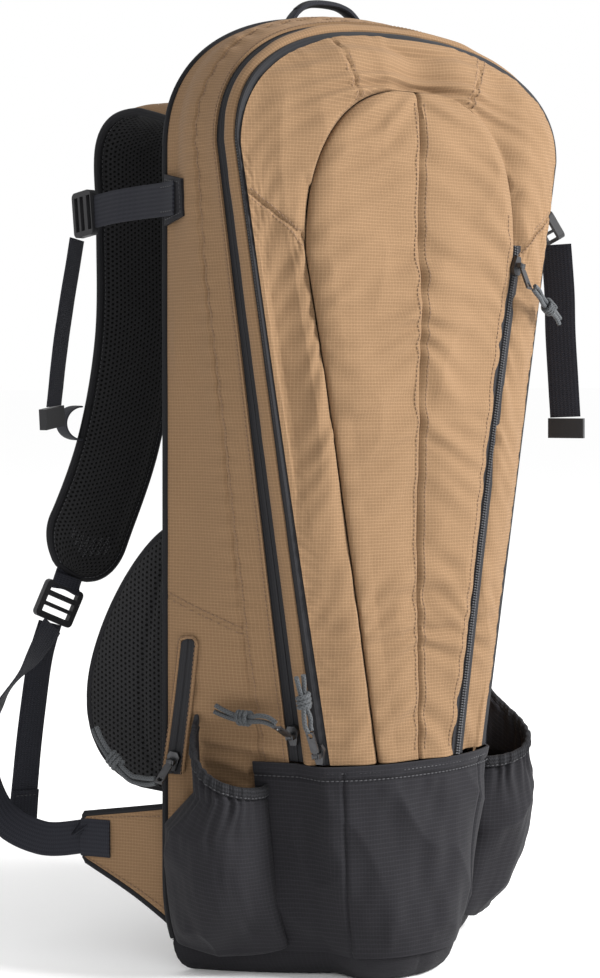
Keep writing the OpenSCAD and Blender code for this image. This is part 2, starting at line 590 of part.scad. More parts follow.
// ---- shoulder straps: the route of the left strap's middle line
strap_path = [[-58, 50.4, 611.4], [-58.5, 61, 617.5], [-70, 95, 635], [-88, 145, 648],
    [-100, 176, 626], [-99, 178, 560], [-101, 176, 470], [-116, 177, 385], [-141, 177, 318], [-160, 174, 284]];
strap_w0 = [1, 0, 0];
strap_w1 = [0.9, 0.12, 0.42];
module strap_pad(side) {
    color(black_c) mirrored(side)
        ribbon(knots(strap_path, 4), strap_w0, strap_w1, strap_w, strap_t, 6, 0.35, 34);
}
module left_strap_pad() { strap_pad(LEFT); }
module right_strap_pad() { strap_pad(RIGHT); }
// A keeper loop of webbing on the outer edge of the strap
keeper_z = 400;
keeper_at = [-152.9, 177, keeper_z];
keeper_reach = 14;
keeper_h = 26;
keeper_w = 20;
// A tab from the strap's lower end to the ladder lock's upper bar
tab_path = [[-161, 173.9, 281.8], [-162.6, 173.7, 278], [-164.7, 173.4, 273.3]];
module strap_loop(side) {
    arc = [for (a = [-90:18:90]) keeper_at + [-keeper_reach * cos(a), 0, keeper_h / 2 * sin(a)]];
    color(black_c) mirrored(side) {
        ribbon(arc, [0, 1, 0], [0, 1, 0], keeper_w, web_t, 1);
        ribbon(tab_path, [0.9, 0.16, -0.4], [0.9, 0.16, -0.4], web_w, web_t * 2, 1);
    }
}
module left_strap_loop() { strap_loop(LEFT); }
module right_strap_loop() { strap_loop(RIGHT); }

// A ladder lock: a frame with two bars, its plate in the XZ plane, its upper bar at the origin
lock_w = web_w + 11;
lock_h = 30;
lock_t = 5;
slot_h = 6;
module ladder_lock() {
    color(black_c) difference() {
        translate([0, lock_t / 2, -lock_h / 2 + slot_h]) rotate([90, 0, 0])
            linear_extrude(lock_t) rounded(lock_w, lock_h, 4);
        for (z = [0, -lock_h / 2 + slot_h, -lock_h + 2 * slot_h + 1])
            translate([-web_w / 2 - 0.8, -lock_t, z - slot_h / 2 + 1])
                cube([web_w + 1.6, 2 * lock_t, slot_h - 1]);
    }
}
lock_at = [-167, 173, 267];
lock_turn = [5, 24, 10];              // how the lock hangs from the strap's end
module left_ladder_lock() { translate(lock_at) rotate(lock_turn) ladder_lock(); }
module right_ladder_lock() { mirror([1, 0, 0]) left_ladder_lock(); }

// Free end of the webbing below the lock
left_tail_path = [[-177.4, 173.4, 244], [-186, 174, 215], [-193, 175, 165], [-198, 176, 115],
    [-200, 176, 88]];
module strap_tail(side) {
    color(black_c) mirrored(side) ribbon(knots(left_tail_path, 4), [0.93, 0.3, 0.2], [0.95, 0.2, 0.2],
        web_w, web_t, 1);
}
module left_strap_tail() { strap_tail(LEFT); }
module right_strap_tail() { strap_tail(RIGHT); }

// ---- lower wings and the slack webbing between them and the locks
wing_root = [-132, pad_y + 1.4, 0];
wing_tip = [-180, 104, 104];
wing_low_z = 26;
wing_high_z = 120;
wing_tip_h = 30;
wing_t = 3;
module wing(side) {
    cols = 6;
    rows = 4;
    function pt(i, j, s) = let (k = j / cols, x = lerp(wing_root.x, wing_tip.x, k),
            y = lerp(wing_root.y, wing_tip.y, k), zl = lerp(wing_low_z, wing_tip.z - wing_tip_h, pow(k, 0.8)),
            zh = lerp(wing_high_z, wing_tip.z + 4, k))
        [x + s * 0.77 * wing_t / 2, y + s * 0.64 * wing_t / 2, lerp(zl, zh, i / rows)];
    color(tan_c) mirrored(side) slab([for (i = [0:rows]) [for (j = [0:cols]) pt(i, j, -1)]],
        [for (i = [0:rows]) [for (j = [0:cols]) pt(i, j, 1)]]);
}
module left_wing() { wing(LEFT); }
module right_wing() { wing(RIGHT); }
sling_path = [[-181, 105.2, 91], [-204, 130, 88], [-226, 154, 104], [-234, 166, 146], [-224, 163, 186],
    [-204, 154, 216], [-183, 156.5, 244]];
module wing_webbing(side) {
    color(black_c) mirrored(side) ribbon(knots(sling_path, 4), [-0.3, 0.3, 0.9], [0.9, 0.35, 0.25],
        web_w, web_t, 1);
}
module left_wing_webbing() { wing_webbing(LEFT); }
module right_wing_webbing() { wing_webbing(RIGHT); }

// ---- compression straps: a patch on the wall, webbing, a buckle, a tail and its end clip
patch_z = 566;
patch_h = 38;
patch_t = 1.6;
patch_from = 1;                       // depths between which the patch lies
patch_to = 30;
module compression_patches() {
    cols = 4;
    function pt(i, j, l) = side_pt(LEFT, patch_z + (i - 0.5) * patch_h * (1 - 0.3 * j / cols),
        lerp(patch_from, patch_to, j / cols), l);
    for (side = [LEFT, RIGHT]) color(black_c) mirrored(side)
        slab([for (i = [0:1]) [for (j = [0:cols]) pt(i, j, skin_lift + patch_t)]],
            [for (i = [0:1]) [for (j = [0:cols]) pt(i, j, skin_lift)]]);
}
comp_off = skin_lift + patch_t + 3 * gap + web_t / 2;
left_comp = [side_pt(LEFT, patch_z, 22, comp_off), side_pt(LEFT, patch_z, 4, comp_off),
    [-152, 66, patch_z], [-158, 96, patch_z - 1], [-162, 124, patch_z - 3]];
right_comp = [side_pt(RIGHT, patch_z, 6, comp_off), side_pt(RIGHT, patch_z, 24, comp_off),
    [156, 4, patch_z + 1], [166, -2, patch_z]];
module left_compression_webbing() {
    color(black_c) ribbon(knots(left_comp, 4), [0, 0, 1], [0, 0, 1], web_w, web_t, 1);
}
module right_compression_webbing() {
    color(black_c) ribbon(knots(right_comp, 4), [0, 0, 1], [0.1, 0, 1], web_w, web_t, 1);
}
// A webbing buckle: its plate in the XY plane, the fixed bar at the origin, the body along +X
buckle_l = 24;
buckle_w = web_w + 10;
buckle_t = 6;
module buckle() {
    color(black_c) difference() {
        translate([buckle_l / 2 - 3, 0, -buckle_t / 2])
            linear_extrude(buckle_t) rounded(buckle_l, buckle_w, 4);
        for (x = [-0.5, 8, 15]) translate([x - 1.5, -web_w / 2 - 0.8, -buckle_t])
            cube([4.5, web_w + 1.6, 2 * buckle_t]);
    }
}
left_buckle_at = [-163, 127.9, patch_z - 3];
right_buckle_at = [170, -5, patch_z - 3];
module left_compression_buckle() { seated(left_buckle_at, [-0.2, 1, -0.12], [-1, -0.2, 0]) buckle(); }
module right_compression_buckle() { seated(right_buckle_at, [0.5, -0.3, -1], [0.9, -0.2, 0.4]) buckle(); }
left_comp_tail = [[-168, 144, 542.8], [-172, 146, 515], [-178, 148, 475], [-183, 150, 430], [-184, 152, 414]];
right_comp_tail = [[179.9, -10.9, 542.9], [185, -9, 505], [187, -8, 470], [190, -8, 430], [192, -8, 404]];
module compression_tail(p, w) {
    color(black_c) ribbon(knots(p, 4), w, w, web_w, web_t, 1);
}
left_tail_w = [0.75, 0.6, 0.25];
right_tail_w = [0.6, -0.8, 0];
module left_compression_tail() { compression_tail(left_comp_tail, left_tail_w); }
module right_compression_tail() { compression_tail(right_comp_tail, right_tail_w); }
clip_h = 16;
clip_t = 6;
clip_w = web_w + 4;
module end_clip(at, w) {
    color(black_c) seated(at, w, cross(w, [0, 0, 1])) translate([-clip_w / 2, -clip_h / 2, -clip_t / 2])
        cube([clip_w, clip_h, clip_t]);
}
module left_tail_clip() { end_clip([-185, 153, 405], [0.8, 0.6, 0.1]); }
module right_tail_clip() { end_clip([193, -8, 395], right_tail_w); }

// ---- haul handle
handle_x = 36;
handle_y = pad_y + yoke_t + gap + 7;
handle_path = [[-handle_x, handle_y, 664], [-handle_x, handle_y, 700], [-22, handle_y, 722],
    [0, handle_y, 727], [22, handle_y, 722], [handle_x, handle_y, 700], [handle_x, handle_y, 664]];
handle_w = 13;
handle_t = 4;
module haul_handle() {
    color(black_c) ribbon(knots(handle_path, 4), [0, 1, 0], [0, 1, 0], handle_w, handle_t, 2, 0.7);
}

main_shell();
base_panel();
front_lower_panel();
back_panel();
back_foam();
frame_sheet();
back_pads();
left_hip_pad();
right_hip_pad();
strap_yoke();
back_lining();
hydration_sleeve();
left_side_pocket();
right_side_pocket();
left_pocket_elastic();
right_pocket_elastic();
main_zip_shell_tape();
side_zip_tape();
left_wing();
right_wing();
left_wing_webbing();
right_wing_webbing();
compression_patches();
left_compression_webbing();
right_compression_webbing();
left_compression_buckle();
right_compression_buckle();
left_compression_tail();
right_compression_tail();
left_tail_clip();
right_tail_clip();
haul_handle();
mid_gusset();
main_zip_flap_tape();
front_zip_gusset_tape();
divider_panel();
front_cover();
center_panel();
front_zip_cover_tape();
pocket_zip_tape();
main_zip_slider();
main_zip_puller();
main_zip_cord();
front_zip_slider();
front_zip_puller();
front_zip_cord();
pocket_zip_slider();
pocket_zip_puller();
pocket_zip_cord();
side_zip_slider();
side_zip_puller();
side_zip_cord();
left_strap_pad();
right_strap_pad();
left_strap_loop();
right_strap_loop();
left_ladder_lock();
right_ladder_lock();
left_strap_tail();
right_strap_tail();
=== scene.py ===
# %% [markdown]
# # A hunting backpack, piece by piece
# A tall clamshell pack in tan ripstop and black pack cloth. The frame gives every part its place, and
# each cell below makes one part of the real bag: how it is cut and sewn decides how its mesh is made.

# %% The frame
import math

import bpy
import numpy as np
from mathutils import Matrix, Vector


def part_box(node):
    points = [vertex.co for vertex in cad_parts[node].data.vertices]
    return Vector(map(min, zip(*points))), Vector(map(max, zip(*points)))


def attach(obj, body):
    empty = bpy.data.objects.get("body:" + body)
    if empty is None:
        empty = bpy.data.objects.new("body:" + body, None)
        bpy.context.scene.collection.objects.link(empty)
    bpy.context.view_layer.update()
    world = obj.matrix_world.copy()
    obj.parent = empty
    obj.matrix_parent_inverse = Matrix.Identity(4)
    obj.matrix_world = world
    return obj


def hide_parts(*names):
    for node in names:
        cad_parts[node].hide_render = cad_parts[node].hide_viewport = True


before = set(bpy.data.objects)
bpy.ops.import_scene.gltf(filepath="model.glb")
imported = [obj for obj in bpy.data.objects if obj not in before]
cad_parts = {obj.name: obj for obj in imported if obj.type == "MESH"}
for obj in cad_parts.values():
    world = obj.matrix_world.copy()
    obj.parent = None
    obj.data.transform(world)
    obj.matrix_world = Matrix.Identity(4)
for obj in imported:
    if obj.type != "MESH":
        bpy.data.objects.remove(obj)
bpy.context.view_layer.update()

# %% [markdown]
# The bag is drawn from a few sizes, the same ones its pattern was cut to, in metres. Writing them once
# here, and bending every panel over the same two surfaces, is what keeps neighbours edge to edge.

# %% Sizes of the bag
bag_h, bag_w = 0.710, 0.288
main_d, strip_d = 0.078, 0.022
total_d = main_d + strip_d
front_low_w, front_bulge = 0.144, 0.018
tear_w, tear_low_w = 0.182, 0.066
zip_z, crown_h, crown_drop, lean_d = 0.160, 0.108, 0.022, 0.012
fabric_t, tape_w = 0.002, 0.0085
back_y = 0.040
zip2_y = back_y - total_d
shoulder_z = bag_h - crown_h
top_taper, strip_taper, side_bulge = 0.003, 0.006, 0.004
corner_z, corner_in = 0.070, 0.026
crown_share, squareness = 0.25, 2 / 2.3
base_rise = 0.024
face_low_z = zip_z + 0.0003
tear_arc, tear_z, tear_h = 0.3, bag_h - crown_h - 0.078, 0.119
web_w, web_t = 0.025, 0.0016
print("bag", bag_h, "m tall and", bag_w, "m wide")

# %% [markdown]
# Two surfaces carry the whole bag. The wall runs from the base up one side, over the crown and down the
# other; the front face bulges forward from the wall's front edge. Each is a plain function of two
# numbers, so a panel, a zip or a seam is only a choice of which numbers to sweep.

# %% The wall
def mix(a, b, t):
    return a + (b - a) * t


def power(x, e):
    return np.maximum(x, 0) ** e


def half_width(d, z):
    """Half the bag's width at depth d behind the back plane and height z."""
    low = np.where(d < main_d, mix(bag_w / 2, front_low_w / 2 + strip_taper, d / main_d),
                   front_low_w / 2 + strip_taper * (1 - (d - main_d) / strip_d))
    high = bag_w / 2 - top_taper * d / total_d
    full = np.where(d < main_d, side_bulge * np.sin(np.pi * d / main_d), 0)
    t = np.clip(z / corner_z, 0, 1)
    corner = corner_in * (1 - np.sqrt(np.maximum(1 - (1 - t) ** 2, 0)))
    return mix(low, high, (z - zip_z) / (shoulder_z - zip_z)) + full - corner


def girth_of(z):
    """Share of the way round the wall at height z: 0 is the top of the crown, 1 the base."""
    return 1 - z / shoulder_z * (1 - crown_share)


def wall(u, d):
    """Points on the wall: u from -1, the left of the base, over the crown to 1, the right."""
    u, d = np.broadcast_arrays(np.asarray(u, float), np.asarray(d, float))
    a = np.abs(u)
    z = shoulder_z * (1 - a) / (1 - crown_share)
    turn = np.pi / 2 * (1 - np.clip(a / crown_share, 0, 1))
    rise = crown_h - crown_drop * (d / total_d) ** 2
    low = np.stack([half_width(d, z), back_y - d, z], -1)
    high = np.stack([half_width(d, shoulder_z + 0 * d) * power(np.cos(turn), squareness),
                     back_y - d + lean_d * np.sin(turn) ** 2 * d / total_d,
                     shoulder_z + rise * power(np.sin(turn), squareness)], -1)
    p = np.where((a > crown_share)[..., None], low, high)
    p[..., 0] *= np.where(u < 0, -1, 1)
    return p


def even_girth(u0, u1, n, d=main_d):
    """n + 1 values of u from u0 to u1 that lie evenly along the wall at depth d."""
    fine = np.linspace(u0, u1, 6000)
    step = np.linalg.norm(np.diff(wall(fine, d), axis=0), axis=1)
    run = np.concatenate([[0], np.cumsum(step)])
    return np.interp(np.linspace(0, run[-1], n + 1), run, fine)


print("crown at", wall(0.0, 0.0).round(3))

# %% [markdown]
# The front face bulges forward between the two edges of the wall, fullest in the middle, and the teardrop's
# outline is drawn on it. Points are asked for by their x and z, which is how a pattern is marked on cloth.

# %% The front face
def rise_of(z):
    return power(np.clip((z - shoulder_z) / (crown_h - crown_drop), 0, 0.9995), 1 / squareness)


def face_half(z):
    d = total_d + 0 * z
    arch = half_width(d, shoulder_z + 0 * z) * power(np.sqrt(1 - rise_of(z) ** 2), squareness)
    return np.where(z < shoulder_z, half_width(d, z), arch)


def face(x, z, lift=0.0):
    """Points on the bulging front at x and height z, lifted forward."""
    x, z = np.broadcast_arrays(np.asarray(x, float), np.asarray(z, float))
    v = np.minimum(1, np.abs(x) / face_half(z))
    edge = zip2_y + lean_d * rise_of(z) ** 2
    fade = np.where(z < shoulder_z, 1, power(np.sqrt(1 - rise_of(z) ** 2), 0.6))
    y = edge - lift - front_bulge * fade * (1 - power(v, 2.5))
    return np.stack([x, y, z], -1)


def tear(s):
    """The teardrop's outline as (x, z): s is 0 at the top of its arc and -1 or 1 at its lower ends."""
    s = np.asarray(s, float)
    a = np.minimum(np.abs(s) / tear_arc, 1)
    k = np.maximum(np.abs(s) - tear_arc, 0) / (1 - tear_arc)
    w = mix(tear_w, tear_low_w, power(k, 0.92)) / 2
    x = np.sign(s) * w * power(np.sin(np.pi / 2 * a), 0.8)
    arc = tear_z + tear_h * power(np.cos(np.pi / 2 * a), 0.8)
    return x, np.where(a < 1, arc, mix(tear_z, face_low_z, k))


print("front face", face(0.0, 0.4).round(3))

# %% [markdown]
# The camera comes early, because everything is judged from its place: a little left of the front, level
# with the middle of the bag, with a long lens, the way catalogue pictures of packs are taken.

# %% The camera
def place_camera():
    data = bpy.data.cameras.new("studio_camera")
    data.lens, data.sensor_width = 70.0, 36.0
    data.shift_x, data.shift_y = -0.062, -0.114
    camera = bpy.data.objects.new("studio_camera", data)
    bpy.context.scene.collection.objects.link(camera)
    camera.location = (-0.785, -1.208, 0.436)
    look = Vector((0.545, 0.839, 0.0))
    camera.rotation_mode = "QUATERNION"
    camera.rotation_quaternion = look.to_track_quat("-Z", "Y")
    bpy.context.scene.camera = camera
    return camera


camera = place_camera()
print("camera lens", camera.data.lens)

# %% [markdown]
# Cloth is never flat. One table of random numbers, drawn once with a fixed seed, gives smooth noise for
# every fold and pucker, so the bag wrinkles the same way each time it is made.

# %% Noise for folds
random = np.random.default_rng(11)
lattice = random.random((64, 64))


def noise(x, y, size):
    """Smooth noise from -1 to 1 over metres x and y, with features of about the given size."""
    x, y = np.asarray(x, float) / size, np.asarray(y, float) / size
    i, j = np.floor(x).astype(int), np.floor(y).astype(int)
    fx, fy = x - i, y - j
    fx, fy = fx * fx * (3 - 2 * fx), fy * fy * (3 - 2 * fy)
    at = lambda a, b: lattice[a % 64, b % 64]
    low = mix(at(i, j), at(i + 1, j), fx)
    high = mix(at(i, j + 1), at(i + 1, j + 1), fx)
    return 2 * mix(low, high, fy) - 1


def crease(x, y, size):
    """Noise with soft ridges, like the crests of folds, from 0 to 1."""
    return 1 - np.abs(noise(x, y, size)) ** 0.8


def bump_at(distance, width):
    """1 on a line and 0 away from it, with the given half width."""
    return np.exp(-(np.asarray(distance) / width) ** 2)


# %% [markdown]
# Every cloth panel has two faces and an edge, so a panel's mesh is a closed slab: a grid of points
# outside, the same grid moved in by the cloth's thickness, and a rim that joins them. The texture
# coordinates are real metres along the cloth, which keeps the weave one size on every panel.

# %% Slabs of cloth
def out_normals(p, away_from):
    """Unit normals of a grid of points, turned away from a point inside the bag."""
    n = np.cross(np.gradient(p, axis=0), np.gradient(p, axis=1))
    n /= np.maximum(np.linalg.norm(n, axis=-1, keepdims=True), 1e-12)
    if ((p - np.asarray(away_from)) * n).sum() < 0:
        n = -n
    return n


def grid_lengths(p):
    """Metres along both directions of a grid, from its middle row and column."""
    r, c = p.shape[:2]
    along = np.linalg.norm(np.diff(p[:, c // 2], axis=0), axis=1)
    across = np.linalg.norm(np.diff(p[r // 2], axis=0), axis=1)
    rows = np.concatenate([[0], np.cumsum(along)])
    cols = np.concatenate([[0], np.cumsum(across)])
    return np.broadcast_to(cols, (r, c)), np.broadcast_to(rows[:, None], (r, c))


def make_mesh(name, points, faces, uv=None, sharp=50):
    mesh = bpy.data.meshes.new(name)
    mesh.from_pydata(np.asarray(points, float).tolist(), [], faces)
    mesh.validate()
    mesh.calc_loop_triangles()
    co = np.zeros(len(mesh.vertices) * 3)
    mesh.vertices.foreach_get("co", co)
    co = co.reshape(-1, 3)
    tri = np.zeros(len(mesh.loop_triangles) * 3, int)
    mesh.loop_triangles.foreach_get("vertices", tri)
    a, b, c = co[tri.reshape(-1, 3)].transpose(1, 0, 2)
    if (np.cross(a, b) * c).sum() < 0:
        mesh.flip_normals()
    if uv is not None:
        layer = mesh.uv_layers.new(name="cloth")
        corner = np.zeros(len(mesh.loops), int)
        mesh.loops.foreach_get("vertex_index", corner)
        layer.data.foreach_set("uv", np.asarray(uv, float)[corner].ravel())
    mesh.polygons.foreach_set("use_smooth", [True] * len(mesh.polygons))
    mesh.set_sharp_from_angle(angle=math.radians(sharp))
    piece = bpy.data.objects.new(name, mesh)
    bpy.context.scene.collection.objects.link(piece)
    return piece


def slab(name, outer, inner, uv=None):
    """A closed mesh between two grids of points."""
    r, c = outer.shape[:2]
    k = r * c
    index = np.arange(k).reshape(r, c)
    a, b, d, e = index[:-1, :-1], index[:-1, 1:], index[1:, 1:], index[1:, :-1]
    front = np.stack([a, b, d, e], -1).reshape(-1, 4)
    back = k + front[:, ::-1]
    rim = np.concatenate([index[0], index[1:, -1], index[-1, -2::-1], index[-2:0:-1, 0]])
    after = np.roll(rim, -1)
    edge = np.stack([rim, k + rim, k + after, after], -1)
    faces = np.concatenate([front, back, edge]).tolist()
    points = np.concatenate([outer.reshape(-1, 3), inner.reshape(-1, 3)])
    u, v = uv if uv is not None else grid_lengths(outer)
    both = np.stack([np.ravel(u), np.ravel(v)], -1)
    return make_mesh(name, points, faces, np.concatenate([both, both]))


def cloth_panel(name, p, height, thick=fabric_t, inside=(0, -0.01, 0.35), uv=None):
    """A panel over a grid of points, raised by height along its normals."""
    n = out_normals(p, inside)
    outer = p + n * np.asarray(height)[..., None]
    return slab(name, outer, outer - n * thick, uv)


# %% [markdown]
# Webbing, straps and piping are all swept: a small cross-section carried along a smooth line. A flat
# band needs to know which way it faces, so its width direction is given at both ends.

# %% Sweeps
def smooth_run(points, n):
    """A smooth line through a few points, n steps to each span."""
    p = np.asarray(points, float)
    last = len(p) - 1
    run = []
    for i in range(last):
        a, b, c, d = p[max(i - 1, 0)], p[i], p[i + 1], p[min(i + 2, last)]
        for t in np.arange(n) / n:
            run.append(0.5 * (2 * b + (c - a) * t + (2 * a - 5 * b + 4 * c - d) * t * t
                              + (3 * b - a - 3 * c + d) * t ** 3))
    return np.array(run + [p[-1]])


def directions(run):
    t = np.gradient(run, axis=0)
    return t / np.maximum(np.linalg.norm(t, axis=1, keepdims=True), 1e-12)


def across(run, w0, w1):
    """Width directions along a run, square to it."""
    t = directions(run)
    w = mix(np.asarray(w0, float), np.asarray(w1, float), np.linspace(0, 1, len(run))[:, None])
    w = w - (w * t).sum(1, keepdims=True) * t
    return t, w / np.linalg.norm(w, axis=1, keepdims=True)


def loft(name, loops, uv=None, caps=True, sharp=50):
    """A closed mesh through rings of points."""
    n, m = loops.shape[:2]
    ring = np.arange(m)
    after = (ring + 1) % m
    faces = []
    for i in range(n - 1):
        faces += np.stack([i * m + ring, i * m + after, (i + 1) * m + after, (i + 1) * m + ring],
                          -1).tolist()
    if caps:
        faces += [ring[::-1].tolist(), ((n - 1) * m + ring).tolist()]
    return make_mesh(name, loops.reshape(-1, 3), faces, uv, sharp)


def band(name, run, w0, w1, wide, thick, edge=0.55, cols=8, wave=0.0):
    """A flat band of webbing with rounded selvedges."""
    t, w = across(run, w0, w1)
    u = np.cross(t, w)
    v = np.linspace(-1, 1, cols + 1)
    half = thick / 2 * (1 - (1 - edge) * np.abs(v) ** 6)
    section = np.concatenate([np.stack([v, half], -1), np.stack([v[::-1], -half[::-1]], -1)])
    reach = np.concatenate([[0], np.cumsum(np.linalg.norm(np.diff(run, axis=0), axis=1))])
    ripple = wave * noise(reach[:, None], section[None, :, 0] * 0.01, 0.02)
    width = np.broadcast_to(np.asarray(wide, float), len(run))[:, None]
    loops = (run[:, None] + w[:, None] * (section[None, :, 0] * width / 2)[..., None]
             + u[:, None] * (section[None, :, 1] + ripple)[..., None])
    uv = np.stack([section[None, :, 0] * width / 2 + 0 * reach[:, None],
                   reach[:, None] + 0 * section[None, :, 0]], -1).reshape(-1, 2)
    return loft(name, loops, uv)


def tube(name, run, r, sides=10, closed=False, flat=1.0, lean=(0.13, 0.31, 0.94)):
    """A round or flattened cord along a run."""
    t = directions(run)
    if closed:
        t = np.roll(run, -1, 0) - np.roll(run, 1, 0)
        t /= np.linalg.norm(t, axis=1, keepdims=True)
    a = np.asarray(lean, float) - (t @ np.asarray(lean, float))[:, None] * t
    a /= np.linalg.norm(a, axis=1, keepdims=True)
    b = np.cross(t, a)
    k = np.linspace(0, 2 * np.pi, sides, endpoint=False)
    loops = (run[:, None] + r * (a[:, None] * np.cos(k)[None, :, None]
                                 + flat * b[:, None] * np.sin(k)[None, :, None]))
    reach = np.concatenate([[0], np.cumsum(np.linalg.norm(np.diff(run, axis=0), axis=1))])
    uv = np.stack([np.broadcast_to(k * r, (len(run), sides)),
                   np.broadcast_to(reach[:, None], (len(run), sides))], -1).reshape(-1, 2)
    if closed:
        loops = np.concatenate([loops, loops[:1]])
        uv = np.concatenate([uv, uv[:sides]])
    return loft(name, loops, uv, caps=not closed)


# %% [markdown]
# A sewn line is many short threads, each lying in the cloth at both ends. They are real little capsules
# here, gathered by body and thread colour and made into one mesh at the end, which keeps them cheap.

# %% Stitches
stitches = {}


def even_points(run, pitch):
    """Points and directions evenly spaced along a line."""
    step = np.linalg.norm(np.diff(run, axis=0), axis=1)
    reach = np.concatenate([[0], np.cumsum(step)])
    n = max(int(reach[-1] / pitch), 1)
    at = (np.arange(n) + 0.5) * reach[-1] / n
    p = np.stack([np.interp(at, reach, run[:, i]) for i in range(3)], -1)
    t = np.stack([np.interp(at, reach, directions(run)[:, i]) for i in range(3)], -1)
    return p, t / np.linalg.norm(t, axis=1, keepdims=True)


def sew(thread, run, up, pitch=0.0034, length=0.0026, r=0.00032):
    """Adds a row of stitches along run, with the cloth facing up (one direction, or one a point)."""
    p, t = even_points(np.asarray(run, float), pitch)
    up = np.asarray(up, float)
    if up.ndim == 2:
        k = np.linspace(0, 1, len(up))
        up = np.stack([np.interp(np.linspace(0, 1, len(p)), k, up[:, i]) for i in range(3)], -1)
    up = up - (up * t).sum(1, keepdims=True) * t
    up /= np.maximum(np.linalg.norm(up, axis=1, keepdims=True), 1e-12)
    side = np.cross(t, up)
    rings = []
    for along, size, dip in ((-0.5, 0.2, -0.5), (-0.3, 1, 0.3), (0.3, 1, 0.3), (0.5, 0.2, -0.5)):
        for c, s in ((1, 0), (0, 1), (-1, 0), (0, -1)):
            rings.append(p + t * along * length + side * c * r * 1.2 * size
                         + up * (s * size + dip) * r)
    stitches.setdefault(thread, []).append(np.stack(rings, 1))


def finish_stitches(thread, name):
    """One mesh of all the stitches of a thread."""
    all_points = np.concatenate(stitches[thread])
    n = len(all_points)
    one = [[3, 2, 1, 0], [12, 13, 14, 15]]
    for i in range(3):
        one += [[4 * i + j, 4 * i + (j + 1) % 4, 4 * i + 4 + (j + 1) % 4, 4 * i + 4 + j]
                for j in range(4)]
    faces = (np.arange(n)[:, None, None] * 16 + np.array(one)[None]).reshape(-1, 4).tolist()
    return make_mesh(name, all_points.reshape(-1, 3), faces, sharp=80), n

# %% [markdown]
# Every finish is a small network of nodes over the metres in the texture coordinates: threads are sine
# waves, a ripstop grid is a sharper wave every few millimetres, and slow noise makes the dye uneven.
# The same height sets the colour from dark to light and drives the bump: on threads, ribs, strands and mesh holes
# that colour is painted shade in the low parts and painted highlight on the high parts, set where the bump's own
# light and shade fall.

# %% Nodes for finishes
def node(tree, kind, *inputs, **settings):
    """Adds a node, sets it, fills or joins its inputs in order, and gives its first output."""
    n = tree.nodes.new("ShaderNode" + kind)
    for key, value in settings.items():
        setattr(n, key, value)
    for i, value in enumerate(inputs):
        if isinstance(value, bpy.types.NodeSocket):
            tree.links.new(value, n.inputs[i])
        elif value is not None:
            n.inputs[i].default_value = value
    return n.outputs[0]


def calc(tree, operation, a, b=0.0):
    return node(tree, "Math", a, b, operation=operation)


def cloth_metres(tree):
    xyz = node(tree, "SeparateXYZ", node(tree, "UVMap", uv_map="cloth"))
    return xyz, xyz.node.outputs[1]


def thread_wave(tree, x, pitch):
    return calc(tree, "SINE", calc(tree, "MULTIPLY", x, 2 * math.pi / pitch))


def new_finish(name, rough, specular=0.3, sheen=0.0, metallic=0.0):
    finish = bpy.data.materials.new(name)
    finish.use_nodes = True
    shader = finish.node_tree.nodes["Principled BSDF"]
    shader.inputs["Roughness"].default_value = rough
    shader.inputs["Specular IOR Level"].default_value = specular
    shader.inputs["Sheen Weight"].default_value = sheen
    shader.inputs["Sheen Roughness"].default_value = 0.5
    shader.inputs["Metallic"].default_value = metallic
    return finish, finish.node_tree, shader


def shade(tree, shader, height, dark, light, depth, strength=0.8, dye=0.14, dye_size=0.09):
    """Colour from dark to light by height (painted shade in low relief and painted highlight on high relief; random
    tone on moulded grain), uneven dye, and a bump of the given depth in metres.
    """
    coord = node(tree, "TexCoord").node.outputs["Object"]
    slow = node(tree, "TexNoise", coord, None, 1 / dye_size, 4.0, 0.6)
    fine = node(tree, "TexNoise", coord, None, 900.0, 2.0, 0.6)
    # painted light: low relief takes the dark colour as painted shade, high relief the light colour as painted
    # highlight
    colour = node(tree, "MixRGB", height, (*dark, 1), (*light, 1))
    amount = calc(tree, "ADD", calc(tree, "MULTIPLY", slow, dye), 1 - dye / 2)
    amount = calc(tree, "MULTIPLY", amount, calc(tree, "ADD", calc(tree, "MULTIPLY", fine, 0.24), 0.88))
    grey = node(tree, "CombineXYZ", amount, amount, amount)
    tinted = node(tree, "MixRGB", 1.0, colour, grey, blend_type="MULTIPLY")
    tree.links.new(tinted, shader.inputs["Base Color"])
    relief = calc(tree, "ADD", height, calc(tree, "MULTIPLY", fine, 0.25))
    n = tree.nodes.new("ShaderNodeBump")
    n.inputs["Strength"].default_value = strength
    n.inputs["Distance"].default_value = depth
    tree.links.new(relief, n.inputs["Height"])
    tree.links.new(n.outputs[0], shader.inputs["Normal"])


# %% [markdown]
# Ripstop is plain weave with a thicker thread every few millimetres, both ways, so a tear stops there. The
# grid is made from the cloth's own metres, so it keeps its size on every panel and at every distance.

# %% Woven cloth
def woven(name, dark, light, thread, grid, rough, sheen, depth, dye=0.14):
    """Plain-woven pack cloth, with a ripstop grid where grid is above 0, painted shade in the weave's valleys and
    painted highlight on its raised threads and grid lines.
    """
    finish, tree, shader = new_finish(name, rough, 0.10, sheen)
    u, v = cloth_metres(tree)
    weave = calc(tree, "MULTIPLY", thread_wave(tree, u, thread), thread_wave(tree, v, thread))
    height = calc(tree, "ADD", calc(tree, "MULTIPLY", weave, 0.3), 0.35)
    if grid:
        for x, share in ((u, 0.20), (v, 0.34)):
            line = calc(tree, "POWER", calc(tree, "MAXIMUM", thread_wave(tree, x, grid), 0.0), 4.0)
            height = calc(tree, "ADD", height, calc(tree, "MULTIPLY", line, share))
    # painted shade in the weave's valleys, painted highlight on the raised threads and the ripstop grid
    shade(tree, shader, height, dark, light, depth, dye=dye)
    return finish


